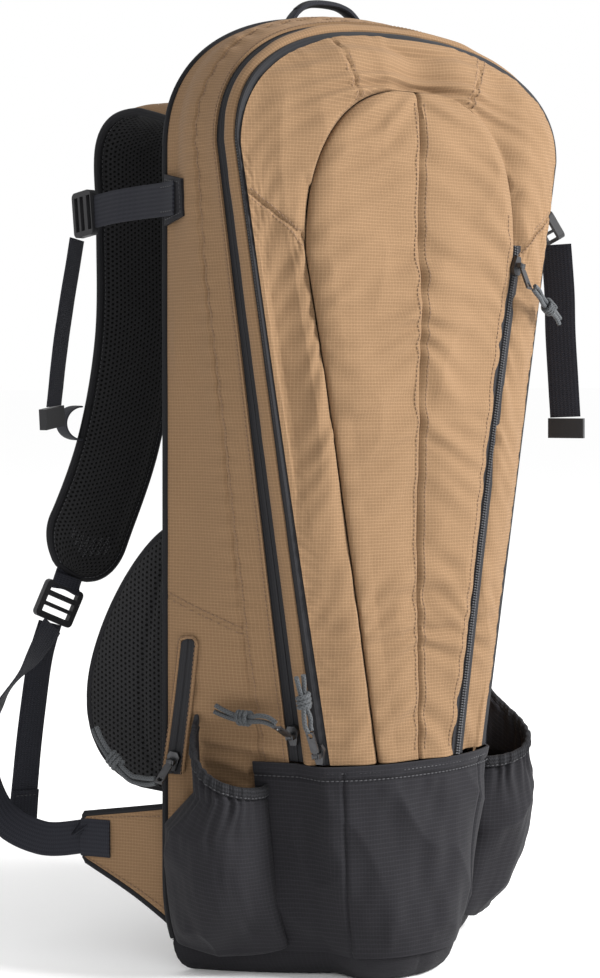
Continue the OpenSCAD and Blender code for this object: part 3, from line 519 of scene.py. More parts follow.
tan_ripstop = woven("tan_ripstop", (0.115, 0.069, 0.036), (0.305, 0.190, 0.106), 0.0009, 0.0024, 0.88, 0.03,
                    0.00022)
tan_lining = woven("tan_lining", (0.22, 0.14, 0.08), (0.34, 0.22, 0.13), 0.0012, 0, 0.75, 0.05, 0.0001)
black_cloth = woven("black_pack_cloth", (0.007, 0.007, 0.008), (0.024, 0.023, 0.027), 0.0011, 0.0033, 0.78,
                    0.03, 0.0002)
black_lining = woven("black_lining", (0.015, 0.015, 0.017), (0.03, 0.03, 0.034), 0.001, 0, 0.7, 0.05,
                     0.0001)
print("woven cloths: tan ripstop, black pack cloth and their linings")

# %% [markdown]
# Spacer mesh is knitted with a honeycomb of holes. Three waves set at a third of a turn from each other
# add up to exactly that pattern, and a threshold marks the holes, which are painted dark as painted shade for their
# depth, not cut.

# %% Mesh, webbing, tape and cord
def spacer_mesh(name, pitch, dark, light):
    finish, tree, shader = new_finish(name, 0.85, 0.05, 0.04)
    u, v = cloth_metres(tree)
    total = 0.0
    for turn in (0, 120, 240):
        a = math.radians(turn)
        along = calc(tree, "ADD", calc(tree, "MULTIPLY", u, math.cos(a)),
                     calc(tree, "MULTIPLY", v, math.sin(a)))
        wave = calc(tree, "COSINE", calc(tree, "MULTIPLY", along, 2 * math.pi / pitch))
        total = calc(tree, "ADD", wave, total)
    # painted shade: the holes get the dark colour and a lower bump instead of being opened
    hole_shade_mask = node(tree, "MapRange", total, 0.2, 1.6, 1.0, 0.0)
    shade(tree, shader, hole_shade_mask, dark, light, 0.0009, 1.0, 0.1)
    return finish


def ribbed(name, dark, light, rib, column, rough, depth, cross=0.35, sheen=0.02, specular=0.12):
    """Webbing, zip tape or elastic: ribs across the band and fine columns along it, with painted shade between the
    ribs and painted highlight on their crests.
    """
    finish, tree, shader = new_finish(name, rough, specular, sheen)
    u, v = cloth_metres(tree)
    rows = thread_wave(tree,
                       calc(tree, "ADD", v,
                             calc(tree, "MULTIPLY", thread_wave(tree, u, column), rib * 0.2)), rib)
    lines = thread_wave(tree, u, column)
    height = calc(tree, "ADD", calc(tree, "MULTIPLY", rows, 0.5 - cross / 2),
                  calc(tree, "MULTIPLY", lines, cross / 2))
    # painted shade between the ribs and columns, painted highlight on their crests
    shade(tree, shader, calc(tree, "ADD", height, 0.5), dark, light, depth, dye=0.1)
    return finish


def braided(name, dark, light, pitch, around):
    """Braided cord: two sets of strands that wind opposite ways, with painted shade between the strands and painted
    highlight on their tops.
    """
    finish, tree, shader = new_finish(name, 0.7, 0.3, 0.1)
    u, v = cloth_metres(tree)
    turn = calc(tree, "MULTIPLY", u, 2 * math.pi / around)
    climb = calc(tree, "MULTIPLY", v, 2 * math.pi / pitch)
    one = calc(tree, "SINE", calc(tree, "ADD", climb, turn))
    two = calc(tree, "SINE", calc(tree, "SUBTRACT", climb, turn))
    height = calc(tree, "ADD", calc(tree, "MULTIPLY", calc(tree, "MAXIMUM", one, two), 0.5), 0.5)
    # painted shade between the strands, painted highlight on their tops
    shade(tree, shader, height, dark, light, 0.0003, dye=0.08)
    return finish


back_mesh = spacer_mesh("black_spacer_mesh", 0.0034, (0.003, 0.003, 0.003), (0.021, 0.021, 0.022))
webbing = ribbed("charcoal_webbing", (0.008, 0.0085, 0.012), (0.024, 0.025, 0.032), 0.0015, 0.0031, 0.72,
                 0.00022)
binding = ribbed("black_binding", (0.006, 0.006, 0.007), (0.016, 0.016, 0.018), 0.0011, 0.0022, 0.7,
                 0.00015)
zip_tape = ribbed("zip_tape", (0.010, 0.010, 0.011), (0.025, 0.025, 0.028), 0.0009, 0.0016, 0.62, 0.0001)
elastic = ribbed("ribbed_elastic", (0.008, 0.008, 0.009), (0.022, 0.022, 0.025), 0.0028, 0.0014, 0.72,
                 0.0003, 0.15)
pull_cord = braided("braided_cord", (0.018, 0.020, 0.022), (0.060, 0.065, 0.070), 0.0024, 0.0027)
print("mesh, webbing, tape, elastic and cord")

# %% [markdown]
# Moulded and cast parts have no weave. Buckles get the faint grain of a textured mould, and the zip
# hardware a dark coating that has rubbed a little brighter in places.

# %% Plastic, metal, foam and thread
def grained(name, dark, light, size, rough, depth, specular=0.4, metallic=0.0, sheen=0.0):
    finish, tree, shader = new_finish(name, rough, specular, sheen, metallic)
    coord = node(tree, "TexCoord").node.outputs["Object"]
    grain = node(tree, "TexNoise", coord, None, 1 / size, 3.0, 0.7)
    shade(tree, shader, grain, dark, light, depth, 0.5, 0.1)
    return finish


buckle_plastic = grained("textured_acetal", (0.008, 0.008, 0.009), (0.02, 0.02, 0.022), 0.0006, 0.48,
                         0.00005, 0.3)
zip_metal = grained("dark_coated_metal", (0.03, 0.03, 0.032), (0.10, 0.10, 0.104), 0.004, 0.36, 0.00003,
                    0.5, 0.85)
coil_nylon = grained("nylon_coil", (0.02, 0.02, 0.022), (0.05, 0.05, 0.054), 0.001, 0.35, 0.00002, 0.5)
closed_foam = grained("closed_cell_foam", (0.13, 0.13, 0.135), (0.2, 0.2, 0.205), 0.0012, 0.9, 0.0002, 0.2)
sheet_plastic = grained("pressed_sheet_plastic", (0.6, 0.6, 0.57), (0.72, 0.72, 0.69), 0.003, 0.45, 0.00005)
tan_thread = grained("tan_bonded_thread", (0.12, 0.07, 0.04), (0.2, 0.12, 0.07), 0.0005, 0.6, 0.00005, 0.3)
black_thread = grained("black_bonded_thread", (0.02, 0.02, 0.022), (0.05, 0.05, 0.055), 0.0005, 0.55,
                       0.00005, 0.35)
print(len(bpy.data.materials), "finishes")


# %% [markdown]
# Each piece is told three things in one place: its finish, the body that it moves with, and the part of the
# frame that it stands for.

# %% Placing a piece
def place(piece, body, finish, slot, *stands_for):
    """Gives a piece its finish and body, and says which parts of the frame it stands for."""
    piece.data.materials.clear()
    piece.data.materials.append(finish)
    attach(piece, body)
    if stands_for:
        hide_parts(*stands_for)
    return piece

# %% [markdown]
# The side panels and the crown are one wrap of cloth that runs from the base up one side and down the
# other. A fold line divides it into the side panel and the strip beside the zip. Stuffed packs show long
# soft hollows there, small puckers where the thread pulled, and gathers where the pocket holds it in.

# %% The side wrap
def side_seam_depth(u):
    """Depth of the seam between the side panel and the strip beside the main zip."""
    return main_d * mix(0.60, 0.74, np.clip((np.abs(u) - 0.3) / 0.55, 0, 1))


def wall_grid(u, d0, d1, cols):
    """A grid over the wall between two depths, which may change along it."""
    t = np.linspace(0, 1, cols + 1)[None, :]
    d = mix(np.broadcast_to(np.asarray(d0, float), u.shape)[:, None],
            np.broadcast_to(np.asarray(d1, float), u.shape)[:, None], t)
    return wall(u[:, None], d), d


def wall_reach(u, d=main_d / 2):
    step = np.linalg.norm(np.diff(wall(u, d + 0 * u), axis=0), axis=1)
    return np.concatenate([[0], np.cumsum(step)])


def soft_folds(x, y, big=0.0022, small=0.0007):
    """The slack of filled cloth: broad hollows with finer, stretched folds on them."""
    broad = noise(x + 0.01 * noise(x, y, 0.05), y, 0.075)
    fine = noise(x * 0.6 + y * 0.35, y * 1.3 - x * 0.3, 0.022)
    return big * broad + small * fine


def drape(x, z, size=0.0032):
    """Long soft hollows that hang down a panel, as in a bag that is not packed tight."""
    bent = x + 0.012 * noise(x, z, 0.16)
    return (size * noise(bent * 2.4, z * 0.42 + bent * 0.3, 0.085)
            + 0.4 * size * noise(bent * 2.0 + 0.3, z * 1.1, 0.06))


panel_d = 0.054                 # the lower panel starts here, and covers the wrap in front of it
pocket_front_z = 0.136          # height of the pocket's hem at the front
pocket_rear_d = 0.022           # the hem starts this far in front of the bag's back
hem_curve = 0.42                # how fast the hem falls from its rear corner
lip = 0.0035                    # cloth that lies over each zip tape
base_u = girth_of(base_rise)
wrap_u = even_girth(-base_u, base_u, 560)
wrap_p, wrap_d = wall_grid(wrap_u, 0.0, main_d - tape_w + lip, 44)
wrap_s = wall_reach(wrap_u)[:, None] + 0 * wrap_d
wrap_z = wrap_p[..., 2]
seam_off = wrap_d - side_seam_depth(wrap_u)[:, None]
cross_z = mix(0.277, 0.253, wrap_d / 0.056)
cross_off = np.where(seam_off < 0, wrap_z - cross_z, 1.0)
held = np.clip((0.235 - wrap_z) / 0.06, 0, 1) * np.clip(wrap_d / 0.02, 0, 1)
gather = np.sin(2 * np.pi * (wrap_z + 0.008 * noise(wrap_d, wrap_z, 0.03)) / 0.021)
edges = np.clip(wrap_d / 0.012, 0, 1) * np.clip((main_d - tape_w + lip - wrap_d) / 0.012, 0.15, 1)
wrap_h = (edges * (soft_folds(wrap_s, wrap_d, 0.0022, 0.0009) + 0.0016 * held * gather
                   + drape(wrap_d * 1.2, wrap_s, 0.0022)))
wrap_h += (0.0008 * edges * bump_at(seam_off, 0.012)
           * np.sin(2 * np.pi * wrap_s / 0.016 + 3 * noise(wrap_s, wrap_d, 0.04)))
wrap_h -= 0.0016 * bump_at(seam_off, 0.0013) + 0.0010 * bump_at(cross_off, 0.0011)
wrap_h += 0.0007 * np.clip(seam_off / 0.002, 0, 1)
wrap_h += (0.0011 * bump_at(main_d - tape_w + lip - wrap_d, 0.0022)
           * (0.7 + 0.3 * noise(wrap_s, wrap_d, 0.03)))
hem_over = np.where(wrap_d < panel_d - 0.004,
                    mix(0.170, pocket_front_z, power(np.clip((wrap_d - pocket_rear_d) / 0.038, 0, 1), hem_curve)), zip_z)
covered = np.clip((hem_over - 0.004 - wrap_z) / 0.007, 0, 1) * np.clip((wrap_d - 0.011) / 0.006, 0, 1)
wrap_h = mix(wrap_h, -0.0042, covered)
side_wrap = cloth_panel("side_wrap", wrap_p, wrap_h, uv=(wrap_d, wrap_s))
place(side_wrap, "bag", tan_ripstop, "tan_ripstop", "main_shell")
print("side wrap:", len(side_wrap.data.polygons), "faces")


def on_wall(u, d, lift=0.0):
    """Points over the wall and the way it faces there."""
    u, d = np.broadcast_arrays(np.asarray(u, float), np.asarray(d, float))
    e = 0.002
    a = wall(u + e, d) - wall(u - e, d)
    b = wall(u, np.minimum(d + e, total_d)) - wall(u, d - e)
    n = np.cross(b, a)
    n /= np.linalg.norm(n, axis=-1, keepdims=True)
    return wall(u, d) + n * np.asarray(lift)[..., None], n


def wrap_lift(u, d):
    """Height of the side wrap over the wall."""
    row = np.clip(np.searchsorted(wrap_u, u), 0, len(wrap_u) - 1)
    return np.array([np.interp(b, wrap_d[i], wrap_h[i]) for i, b in zip(row, d)])


def sew_on_wall(thread, u, d):
    u, d = np.broadcast_arrays(u, d)
    p, n = on_wall(u, d, wrap_lift(u, d) + 0.0003)
    sew(thread, p, n)


# %% [markdown]
# Topstitching holds each seam's allowance flat. The rows follow the height of the cloth below them, and
# each cross seam has two rows.

# %% Seams of the side wrap
side_u = even_girth(-girth_of(0.10), girth_of(0.10), 400)
sew_on_wall("bag tan", side_u, side_seam_depth(side_u) + 0.0034)
for sign in (-1, 1):
    cross_d = np.linspace(0.002, 0.055, 40)
    for off in (-0.0022, 0.0022):
        cross_u = sign * girth_of(mix(0.277, 0.253, cross_d / 0.056) + off)
        sew_on_wall("bag tan", cross_u, cross_d)
zip_u = even_girth(-girth_of(zip_z), girth_of(zip_z), 500)
sew_on_wall("bag tan", zip_u, main_d - tape_w + lip - 0.0022 + 0 * zip_u)
print("stitch rows on the wrap:", len(stitches["bag tan"]))

# %% [markdown]
# Both long zips are coil zips sewn in with the coil turned in, so outside there is a smooth tape folded
# to a fine line. Each half of the tape is its own piece, because one half opens with the flap. The coil
# is a row of small nylon teeth on the inner edge of each half.

# %% The long zips
def zip_half(name, d0, d1, body, stands_for, lift=-0.0008):
    """One half of a zip tape round the wall between two depths, with a rolled edge at the coil."""
    p, d = wall_grid(zip_u, d0, d1, 8)
    t = np.linspace(0, 1, 9)[None, :]
    at_coil = t if "shell" in name or "gusset" in name else 1 - t
    reach = wall_reach(zip_u, d0)[:, None] + 0 * d
    h = (lift + 0.0011 * bump_at(1 - at_coil, 0.22) - 0.0002 * noise(reach, d, 0.02)
         - 0.0005 * bump_at(1 - at_coil, 0.05))
    piece = cloth_panel(name, p, h, 0.0009, uv=(d, reach))
    return place(piece, body, zip_tape, "zip_tape", stands_for)


def teeth(name, p, t, up, body, size=(0.0011, 0.0024, 0.0011)):
    """Small rounded bars across a line: one for each tooth of a coil."""
    side = np.cross(t, up)
    side /= np.linalg.norm(side, axis=1, keepdims=True)
    up = np.cross(side, t)
    rings = []
    for across_, height in ((-1, 0.3), (-0.6, 1), (0.6, 1), (1, 0.3)):
        for a, b in ((-1, -1), (1, -1), (1, 1), (-1, 1)):
            rings.append(p + side * across_ * size[1] / 2 + t * a * size[0] / 2 * (0.5 + 0.5 * height)
                         + up * b * size[2] / 2 * height)
    points = np.stack(rings, 1)
    one = [[3, 2, 1, 0], [12, 13, 14, 15]]
    for i in range(3):
        one += [[4 * i + j, 4 * i + (j + 1) % 4, 4 * i + 4 + (j + 1) % 4, 4 * i + 4 + j] for j in range(4)]
    faces = (np.arange(len(p))[:, None, None] * 16 + np.array(one)[None]).reshape(-1, 4).tolist()
    piece = make_mesh(name, points.reshape(-1, 3), faces, sharp=60)
    return place(piece, body, coil_nylon, "zip_tape")


def wall_teeth(name, d, body, lift=-0.0032, pitch=0.0021, shift=0.0):
    p, n = on_wall(zip_u, d, lift)
    q, t = even_points(p, pitch)
    k = np.linspace(0, 1, len(p))
    up = np.stack([np.interp((np.arange(len(q)) + 0.5) / len(q), k, n[:, i]) for i in range(3)], -1)
    return teeth(name, q + t * shift * pitch, t, up, body)


zip_half("main_zip_shell_half", main_d - tape_w, main_d - 0.00012, "bag", "main_zip_shell_tape")
zip_half("main_zip_flap_half", main_d + 0.00012, main_d + tape_w, "main_flap", "main_zip_flap_tape")
zip_half("front_zip_gusset_half", total_d - tape_w, total_d - 0.0001, "main_flap", "front_zip_gusset_tape")
wall_teeth("main_zip_shell_coil", main_d - 0.0013, "bag")
wall_teeth("main_zip_flap_coil", main_d + 0.0013, "main_flap", shift=0.5)
wall_teeth("front_zip_gusset_coil", total_d - 0.0016, "main_flap")
print("long zips and their coils")

# %% [markdown]
# Between the two zips there is a narrow strip of the same cloth, eased in so that it stands up in a soft
# ridge. It moves with the flap, like the halves of tape sewn to its edges.

# %% The strip between the zips
strip_p, strip_dd = wall_grid(zip_u, main_d + tape_w - lip, total_d - tape_w + lip, 12)
strip_s = wall_reach(zip_u, main_d)[:, None] + 0 * strip_dd
strip_t = np.linspace(-1, 1, 13)[None, :]
strip_h = (0.0004 + 0.0024 * (1 - strip_t ** 2)
           + 0.0008 * noise(strip_s, strip_dd, 0.018) * (1 - strip_t ** 4))
zip_strip = cloth_panel("zip_strip", strip_p, strip_h, 0.0014, uv=(strip_dd, strip_s))
place(zip_strip, "main_flap", tan_ripstop, "tan_ripstop", "mid_gusset")
print("zip strip:", len(zip_strip.data.polygons), "faces")

# %% [markdown]
# The front is a flat pattern made deep: a teardrop in the middle, two long gores beside it and a yoke over
# the top, in three pieces. The teardrop stands proud of the gores, because its edge is turned and padded,
# while the gores fall towards the seam. Each seam is a groove, with puckers square to it.

# %% The front panels
behind_front = (0, 0.03, 0.35)  # a point inside the bag, which the front panels face away from
cover_e = girth_of(face_low_z)
seam_lines = {                       # places of the seams: on the outline, and on the teardrop
    "left gore": (-0.368, -0.292),
    "right gore": (0.375, 0.296),
    "left yoke": (-0.082, -0.098),
    "right yoke": (0.098, 0.085),
}


def cover_point(s, f, lift=0.0):
    """Points between the outline, f = 0, and the teardrop, f = 1."""
    o = wall(s * cover_e, total_d + 0 * s)
    x, z = tear(s)
    return face(mix(o[..., 0], x, f), np.maximum(mix(o[..., 2], z, f), face_low_z), lift)


def front_reach(p, a, b):
    """Distance of points from the line through a and b, seen from the front."""
    line = np.array([b[0] - a[0], b[2] - a[2]])
    line /= np.linalg.norm(line)
    return (p[..., 0] - a[0]) * line[1] - (p[..., 2] - a[2]) * line[0]


def puckers(distance, along, reach=0.016, pitch=0.013, size=0.0010):
    """Ripples square to a seam, which die away from it."""
    distance, along = np.broadcast_arrays(np.asarray(distance, float), np.asarray(along, float))
    phase = 2 * np.pi * along / pitch + 4.0 * noise(along, distance, 0.045)
    uneven = 0.6 + 0.6 * noise(along + 0.37, distance * 0.5, 0.03)
    return (size * uneven * np.exp(-(np.abs(distance) / reach) ** 1.3) * np.sin(phase)
            * (1 - 0.8 * bump_at(distance, 0.0032)))


def cover_height(s, p, f):
    x, z = p[..., 0], p[..., 2]
    tx, tz = tear(s)
    o = wall(s * cover_e, total_d + 0 * s)
    span = np.hypot(tx - o[..., 0], tz - o[..., 2])
    to_tear, to_zip = (1 - f) * span, f * span
    calm = np.clip(to_zip / 0.02, 0.1, 1) * np.clip(to_tear / 0.004, 0, 1)
    h = (calm * (drape(x, z, 0.0050) + soft_folds(x * 1.4, z * 0.8, 0.0022, 0.0008)
                 + 0.0026 * crease(x * 1.6 + z * 0.25, z * 0.35, 0.05) - 0.0014))
    h += 0.0020 * bump_at(to_zip, 0.0035) + puckers(to_zip, s * 1.3, 0.012, 0.021, 0.0006)
    h += (calm * (puckers(to_tear, z + 0.6 * to_tear, 0.034, 0.025, 0.0024)
                  + puckers(to_zip, z - 0.5 * to_zip, 0.030, 0.031, 0.0016)))
    h -= 0.0042 * bump_at(to_tear, 0.010) * np.where(np.abs(s) > 0.24, 1.0, 0.45)
    for out, inn in seam_lines.values():
        a, b = cover_point(np.array(out), 0.0), cover_point(np.array(inn), 1.0)
        off = front_reach(p, a, b)
        near = (np.abs(s - mix(out, inn, f)) < 0.12)
        h += (near * (puckers(off, f * span, 0.014, 0.012, 0.0007) - 0.0020 * bump_at(off, 0.0012)
                      + 0.0012 * bump_at(off, 0.010)))
    return np.maximum(h, -0.0002 - 0.010 * np.clip((to_zip - tape_w - 0.002) / 0.008, 0, 1))


outline_s = np.interp(np.linspace(0, 1, 521),
                      np.linspace(0, 1, 2001), even_girth(-cover_e, cover_e, 2000, total_d)) / cover_e


def front_cover(f0, f1, cols):
    f = mix(f0, f1, np.linspace(0, 1, cols + 1))[None, :]
    s = outline_s[:, None] + 0 * f
    p = cover_point(s, f + 0 * s)
    return s, p, f + 0 * s


cover_s, cover_p, cover_f = front_cover(0.0, 0.985, 46)
o_span = np.hypot(*(np.array(tear(cover_s))
                    - wall(cover_s * cover_e, total_d + 0 * cover_s)[..., [0, 2]].transpose(2, 0, 1)))
in_from_zip = np.minimum((tape_w - lip) / np.maximum(o_span, 0.01), 0.4)
cover_f = in_from_zip + (0.985 - in_from_zip) * cover_f / 0.985
cover_p = cover_point(cover_s, cover_f)
cover_h = cover_height(cover_s, cover_p, cover_f)
front_gores = cloth_panel("front_gores_and_yoke", cover_p, cover_h, 0.0016, inside=behind_front,
                          uv=(cover_p[..., 0], cover_p[..., 2]))
place(front_gores, "front_pouch", tan_ripstop, "tan_ripstop", "front_cover")
print("front gores and yoke:", len(front_gores.data.polygons), "faces")

# %% [markdown]
# The second half of the front zip is sewn to the gores, so it follows the front face and not the wall. Its
# coil is turned in, like the others.

# %% The zip tape on the front panel's edge
tape_s = outline_s[:, None] + 0 * np.linspace(0, 1, 9)[None, :]
tape_f = mix(0.0002 / o_span[:, :1], (tape_w + 0.001) / np.maximum(o_span[:, :1], 0.01),
             np.linspace(0, 1, 9)[None, :])
tape_p = cover_point(tape_s, tape_f)
tape_h = -0.0010 + 0.0010 * bump_at(np.linspace(0, 1, 9)[None, :], 0.25) + 0 * tape_s
cover_tape = cloth_panel("front_zip_cover_half", tape_p, tape_h, 0.0009, inside=behind_front,
                         uv=(tape_f * o_span[:, :1], wall_reach(outline_s * cover_e, total_d)[:, None] + 0 * tape_f))
place(cover_tape, "front_pouch", zip_tape, "zip_tape", "front_zip_cover_tape")
coil_p = cover_point(outline_s, 0.0022 / o_span[:, 0], -0.0030)
coil_q, coil_t = even_points(coil_p, 0.0021)
coil_up = np.stack([coil_q[:, 0] * 0.5, -0.09 + 0 * coil_q[:, 1],
                    (coil_q[:, 2] - 0.5) * (coil_q[:, 2] > 0.6)], -1)
teeth("front_zip_cover_coil", coil_q, coil_t, coil_up / np.linalg.norm(coil_up, axis=1, keepdims=True),
      "front_pouch")
print("front zip's second half")

# %% [markdown]
# The teardrop has a seam down the middle that is drawn tight. The pull makes slanting wrinkles on both sides
# of it, and more come in from the padded edge.

# %% The teardrop panel
def tear_grid(rows, cols, s0=0.006):
    """Rows across the teardrop from its top to its lower end, evenly spaced in height."""
    fine = np.linspace(s0, 1, 4000)
    x, z = tear(fine)
    reach = np.concatenate([[0], np.cumsum(np.hypot(np.diff(x), np.diff(z)))])
    s = np.interp(np.linspace(0, reach[-1], rows + 1), reach, fine)
    x, z = tear(s)
    v = np.linspace(-1, 1, cols + 1)[None, :]
    v = np.sign(v) * np.abs(v) ** 0.85
    return face(x[:, None] * v, z[:, None] + 0 * v), v + 0 * x[:, None], x[:, None] + 0 * v


centre_p, centre_v, centre_w = tear_grid(330, 88)
cx, cz = centre_p[..., 0], centre_p[..., 2]
to_edge = (1 - np.abs(centre_v)) * centre_w
below_arc = np.minimum(to_edge, np.abs(tear_z + tear_h - cz) * 0.9)
rim = np.clip(below_arc / 0.014, 0, 1)
centre_h = 0.0046 * np.sqrt(np.clip(rim * (2 - rim), 0, 1)) - 0.0012
centre_h += (rim * (drape(cx + 0.2, cz, 0.0042) + soft_folds(cx * 1.5, cz * 0.8, 0.0016, 0.0007)
                    + 0.0018 * (crease(cx * 1.2 - cz * 0.5, cz * 0.8, 0.045) - 0.5)))
centre_h += puckers(cx, cz, 0.018, 0.017, 0.0011) + puckers(to_edge, cz, 0.016, 0.019, 0.0009) * rim
centre_h += (rim * (puckers(cx, cz + 0.45 * np.abs(cx), 0.050, 0.027, 0.0026)
                    + puckers(to_edge, cz - 0.5 * to_edge, 0.035, 0.024, 0.0018)))
centre_h -= 0.0030 * bump_at(cx, 0.0012) + 0.0018 * bump_at(cx, 0.012)
teardrop = cloth_panel("teardrop_panel", centre_p, centre_h, 0.0016, inside=behind_front, uv=(cx, cz))
place(teardrop, "front_pouch", tan_ripstop, "tan_ripstop", "center_panel")
print("teardrop:", len(teardrop.data.polygons), "faces")

# %% [markdown]
# The stitches are laid on the finished panels, so they rise and fall with the wrinkles. A row set at one
# height would sink into the cloth at each crest.

# %% Stitches on the front
front_way = (0.0, -1.0, 0.05)
thread_lift = 0.0003
centre_out = centre_p + out_normals(centre_p, behind_front) * centre_h[..., None]


def on_teardrop(x, rows):
    """Points on the sewn teardrop panel, one for each of its rows, at the given x."""
    x = np.broadcast_to(x, len(centre_out))
    y = [np.interp(a, row[:, 0], row[:, 1]) for a, row in zip(x, centre_out)]
    return np.stack([x, np.array(y) - thread_lift, centre_out[:, centre_out.shape[1] // 2, 2]], -1)[rows]


def on_cover(s, f):
    """Points on the sewn gores and yoke."""
    row = np.clip(np.searchsorted(outline_s, s), 0, len(outline_s) - 1)
    lift = [np.interp(b, cover_f[i], cover_h[i]) for i, b in zip(row, f)]
    return cover_point(s, f, np.array(lift) + thread_lift)


for off in (-0.0042, 0.0042):
    sew("pouch tan", on_teardrop(off, slice(24, -4)), front_way)
for out, inn in seam_lines.values():
    f = np.linspace(0.08, 0.95, 60)
    for off in (-0.0045, 0.0045):
        sew("pouch tan", on_cover(mix(out, inn, f) + off / cover_e, f), front_way)
tear_rows = slice(len(centre_out) // 4, -4)
sew("pouch tan", on_teardrop(centre_out[:, -1, 0] - 0.0085, tear_rows), front_way)
print("front stitch rows:", len(stitches["pouch tan"]))

# %% [markdown]
# The pocket zip lies over the right-hand seam of the teardrop. Its coil faces out, so the teeth show as
# fine ribs between two edges of tape.

# %% The pocket zip
pocket_s = np.linspace(0.29, 1.0, 260)
px_, pz_ = tear(pocket_s)
half = np.linspace(-1, 1, 11)
pocket_p = face(px_[:, None] + half[None, :] * 0.0058, pz_[:, None] + 0 * half[None, :])
pocket_h = (0.0021 + 0.0006 * bump_at(np.abs(half)[None, :] - 0.25, 0.12)
            - 0.0009 * bump_at(half[None, :], 0.08) + 0 * px_[:, None])
pocket_band = cloth_panel("pocket_zip_band", pocket_p, pocket_h, 0.0012, inside=behind_front,
                          uv=(half[None, :] * 0.0058 + 0 * px_[:, None], pz_[:, None] + 0 * half[None, :]))
place(pocket_band, "front_pouch", zip_tape, "zip_tape", "pocket_zip_tape")
for side_name, off in (("left", -0.0011), ("right", 0.0011)):
    row = face(px_ + off, pz_, 0.0034)
    q, t = even_points(row, 0.0019)
    teeth("pocket_zip_coil_" + side_name, q + t * (0.0005 if off > 0 else 0), t,
          np.broadcast_to(np.array([0.25, -0.97, 0.0]), q.shape), "front_pouch", (0.0010, 0.0020, 0.0010))
print("pocket zip")

# %% [markdown]
# Below the zips the bag is black pack cloth: one panel wraps the front and the sides, hemmed along its
# top, and a moulded-looking base is really the same cloth over a stiff board. Weight drags soft diagonal
# folds into the panel, which fade where the hem and the board hold it.

# %% The lower panel
def lower_row(z, cols_side=16, cols_face=70):
    """Points round the front of the bag at height z, from one pocket to the other."""
    d = np.linspace(panel_d, total_d, cols_side + 1)[:-1]
    left = wall(-girth_of(z) + 0 * d, d)
    v = np.linspace(-1, 1, cols_face + 1)
    middle = face(v * face_half(np.array(z)), z)
    right = left[::-1] * np.array([-1, 1, 1])
    p = np.concatenate([left, middle, right])
    run = np.concatenate([[0], np.cumsum(np.linalg.norm(np.diff(p, axis=0), axis=1))])
    at = np.linspace(0, run[-1], 131)
    p = np.stack([np.interp(at, run, p[:, i]) for i in range(3)], -1)
    ease = np.array([0.1, 0.8, 0.1])[:, None]
    for _ in range(3):
        p[1:-1] = p[:-2] * ease[0] + p[1:-1] * ease[1] + p[2:] * ease[2]
    return p


lower_z = np.linspace(base_rise - 0.004, zip_z - 0.0004, 84)
lower_p = np.stack([lower_row(z) for z in np.maximum(lower_z, 0.001)])
lower_a = np.broadcast_to(np.linspace(0, 0.36, 131)[None, :], lower_p.shape[:2])
lower_zz = lower_p[..., 2]
from_top, from_floor = zip_z - lower_zz, lower_zz - base_rise
middle_a = lower_a - 0.18
free = np.clip(from_top / 0.03, 0, 1) * np.clip(from_floor / 0.012 + 0.2, 0, 1)
lower_h = 0.0029 + free * (0.0042
                           * (crease(middle_a * 1.2 + lower_zz * 0.9, lower_zz * 0.9 - middle_a * 0.3,
                                     0.06) - 0.45)
                           + 0.0012 * noise(middle_a * 1.5, lower_zz, 0.025))
lower_h += 0.0010 * np.clip(1 - from_top / 0.009, 0, 1) ** 0.3 - 0.0012 * bump_at(from_top - 0.0105, 0.0012)
lower_h += puckers(from_top - 0.012, middle_a, 0.014, 0.024, 0.0009) * (from_top > 0.011)
corner_seam = np.abs(np.abs(middle_a) - 0.083)
lower_h -= 0.0016 * bump_at(corner_seam, 0.0013) * (from_top > 0.004)
lower_panel = cloth_panel("lower_panel", lower_p, lower_h, 0.0018, inside=(0, 0.0, 0.09),
                          uv=(lower_a, lower_zz))
place(lower_panel, "bag", black_cloth, "black_nylon", "front_lower_panel")
hem_line = lower_row(zip_z - 0.0105)
hem_out = out_normals(np.stack([hem_line, hem_line + [0, 0, 0.01]]), (0, 0, 0.1))[0]
for off in (0.0, 0.0052):
    sew("bag black", hem_line + hem_out * 0.0036 + np.array([0, 0, off]), hem_out)
print("lower panel:", len(lower_panel.data.polygons), "faces")

# %% [markdown]
# The base is a shallow tray of cloth. The loft draws its outline in towards the floor, and turns back inside
# at the top, which gives the tray a rounded foot and an edge that has thickness.

# %% The base
def outline_at(z, inset, n=26):
    """The bag's outline at height z, moved in by inset, once round from the front middle."""
    d = np.linspace(total_d, 0, 22)
    right = wall(girth_of(z) + 0 * d, d)[:, :2]
    v = np.linspace(0, 1, n)[:-1]
    front = face(v * face_half(np.array(z)), z)[:, :2]
    one = np.concatenate([front, right])
    back = np.stack([np.linspace(one[-1, 0], 0, 14)[1:], np.full(13, back_y)], -1)
    one = np.concatenate([one, back])
    ring = np.concatenate([one, (one * [-1, 1])[-2:0:-1]])
    middle = np.array([0, (back_y + zip2_y) / 2])
    q = ring - middle
    return middle + q * (1 - inset / np.linalg.norm(q, axis=1, keepdims=True))


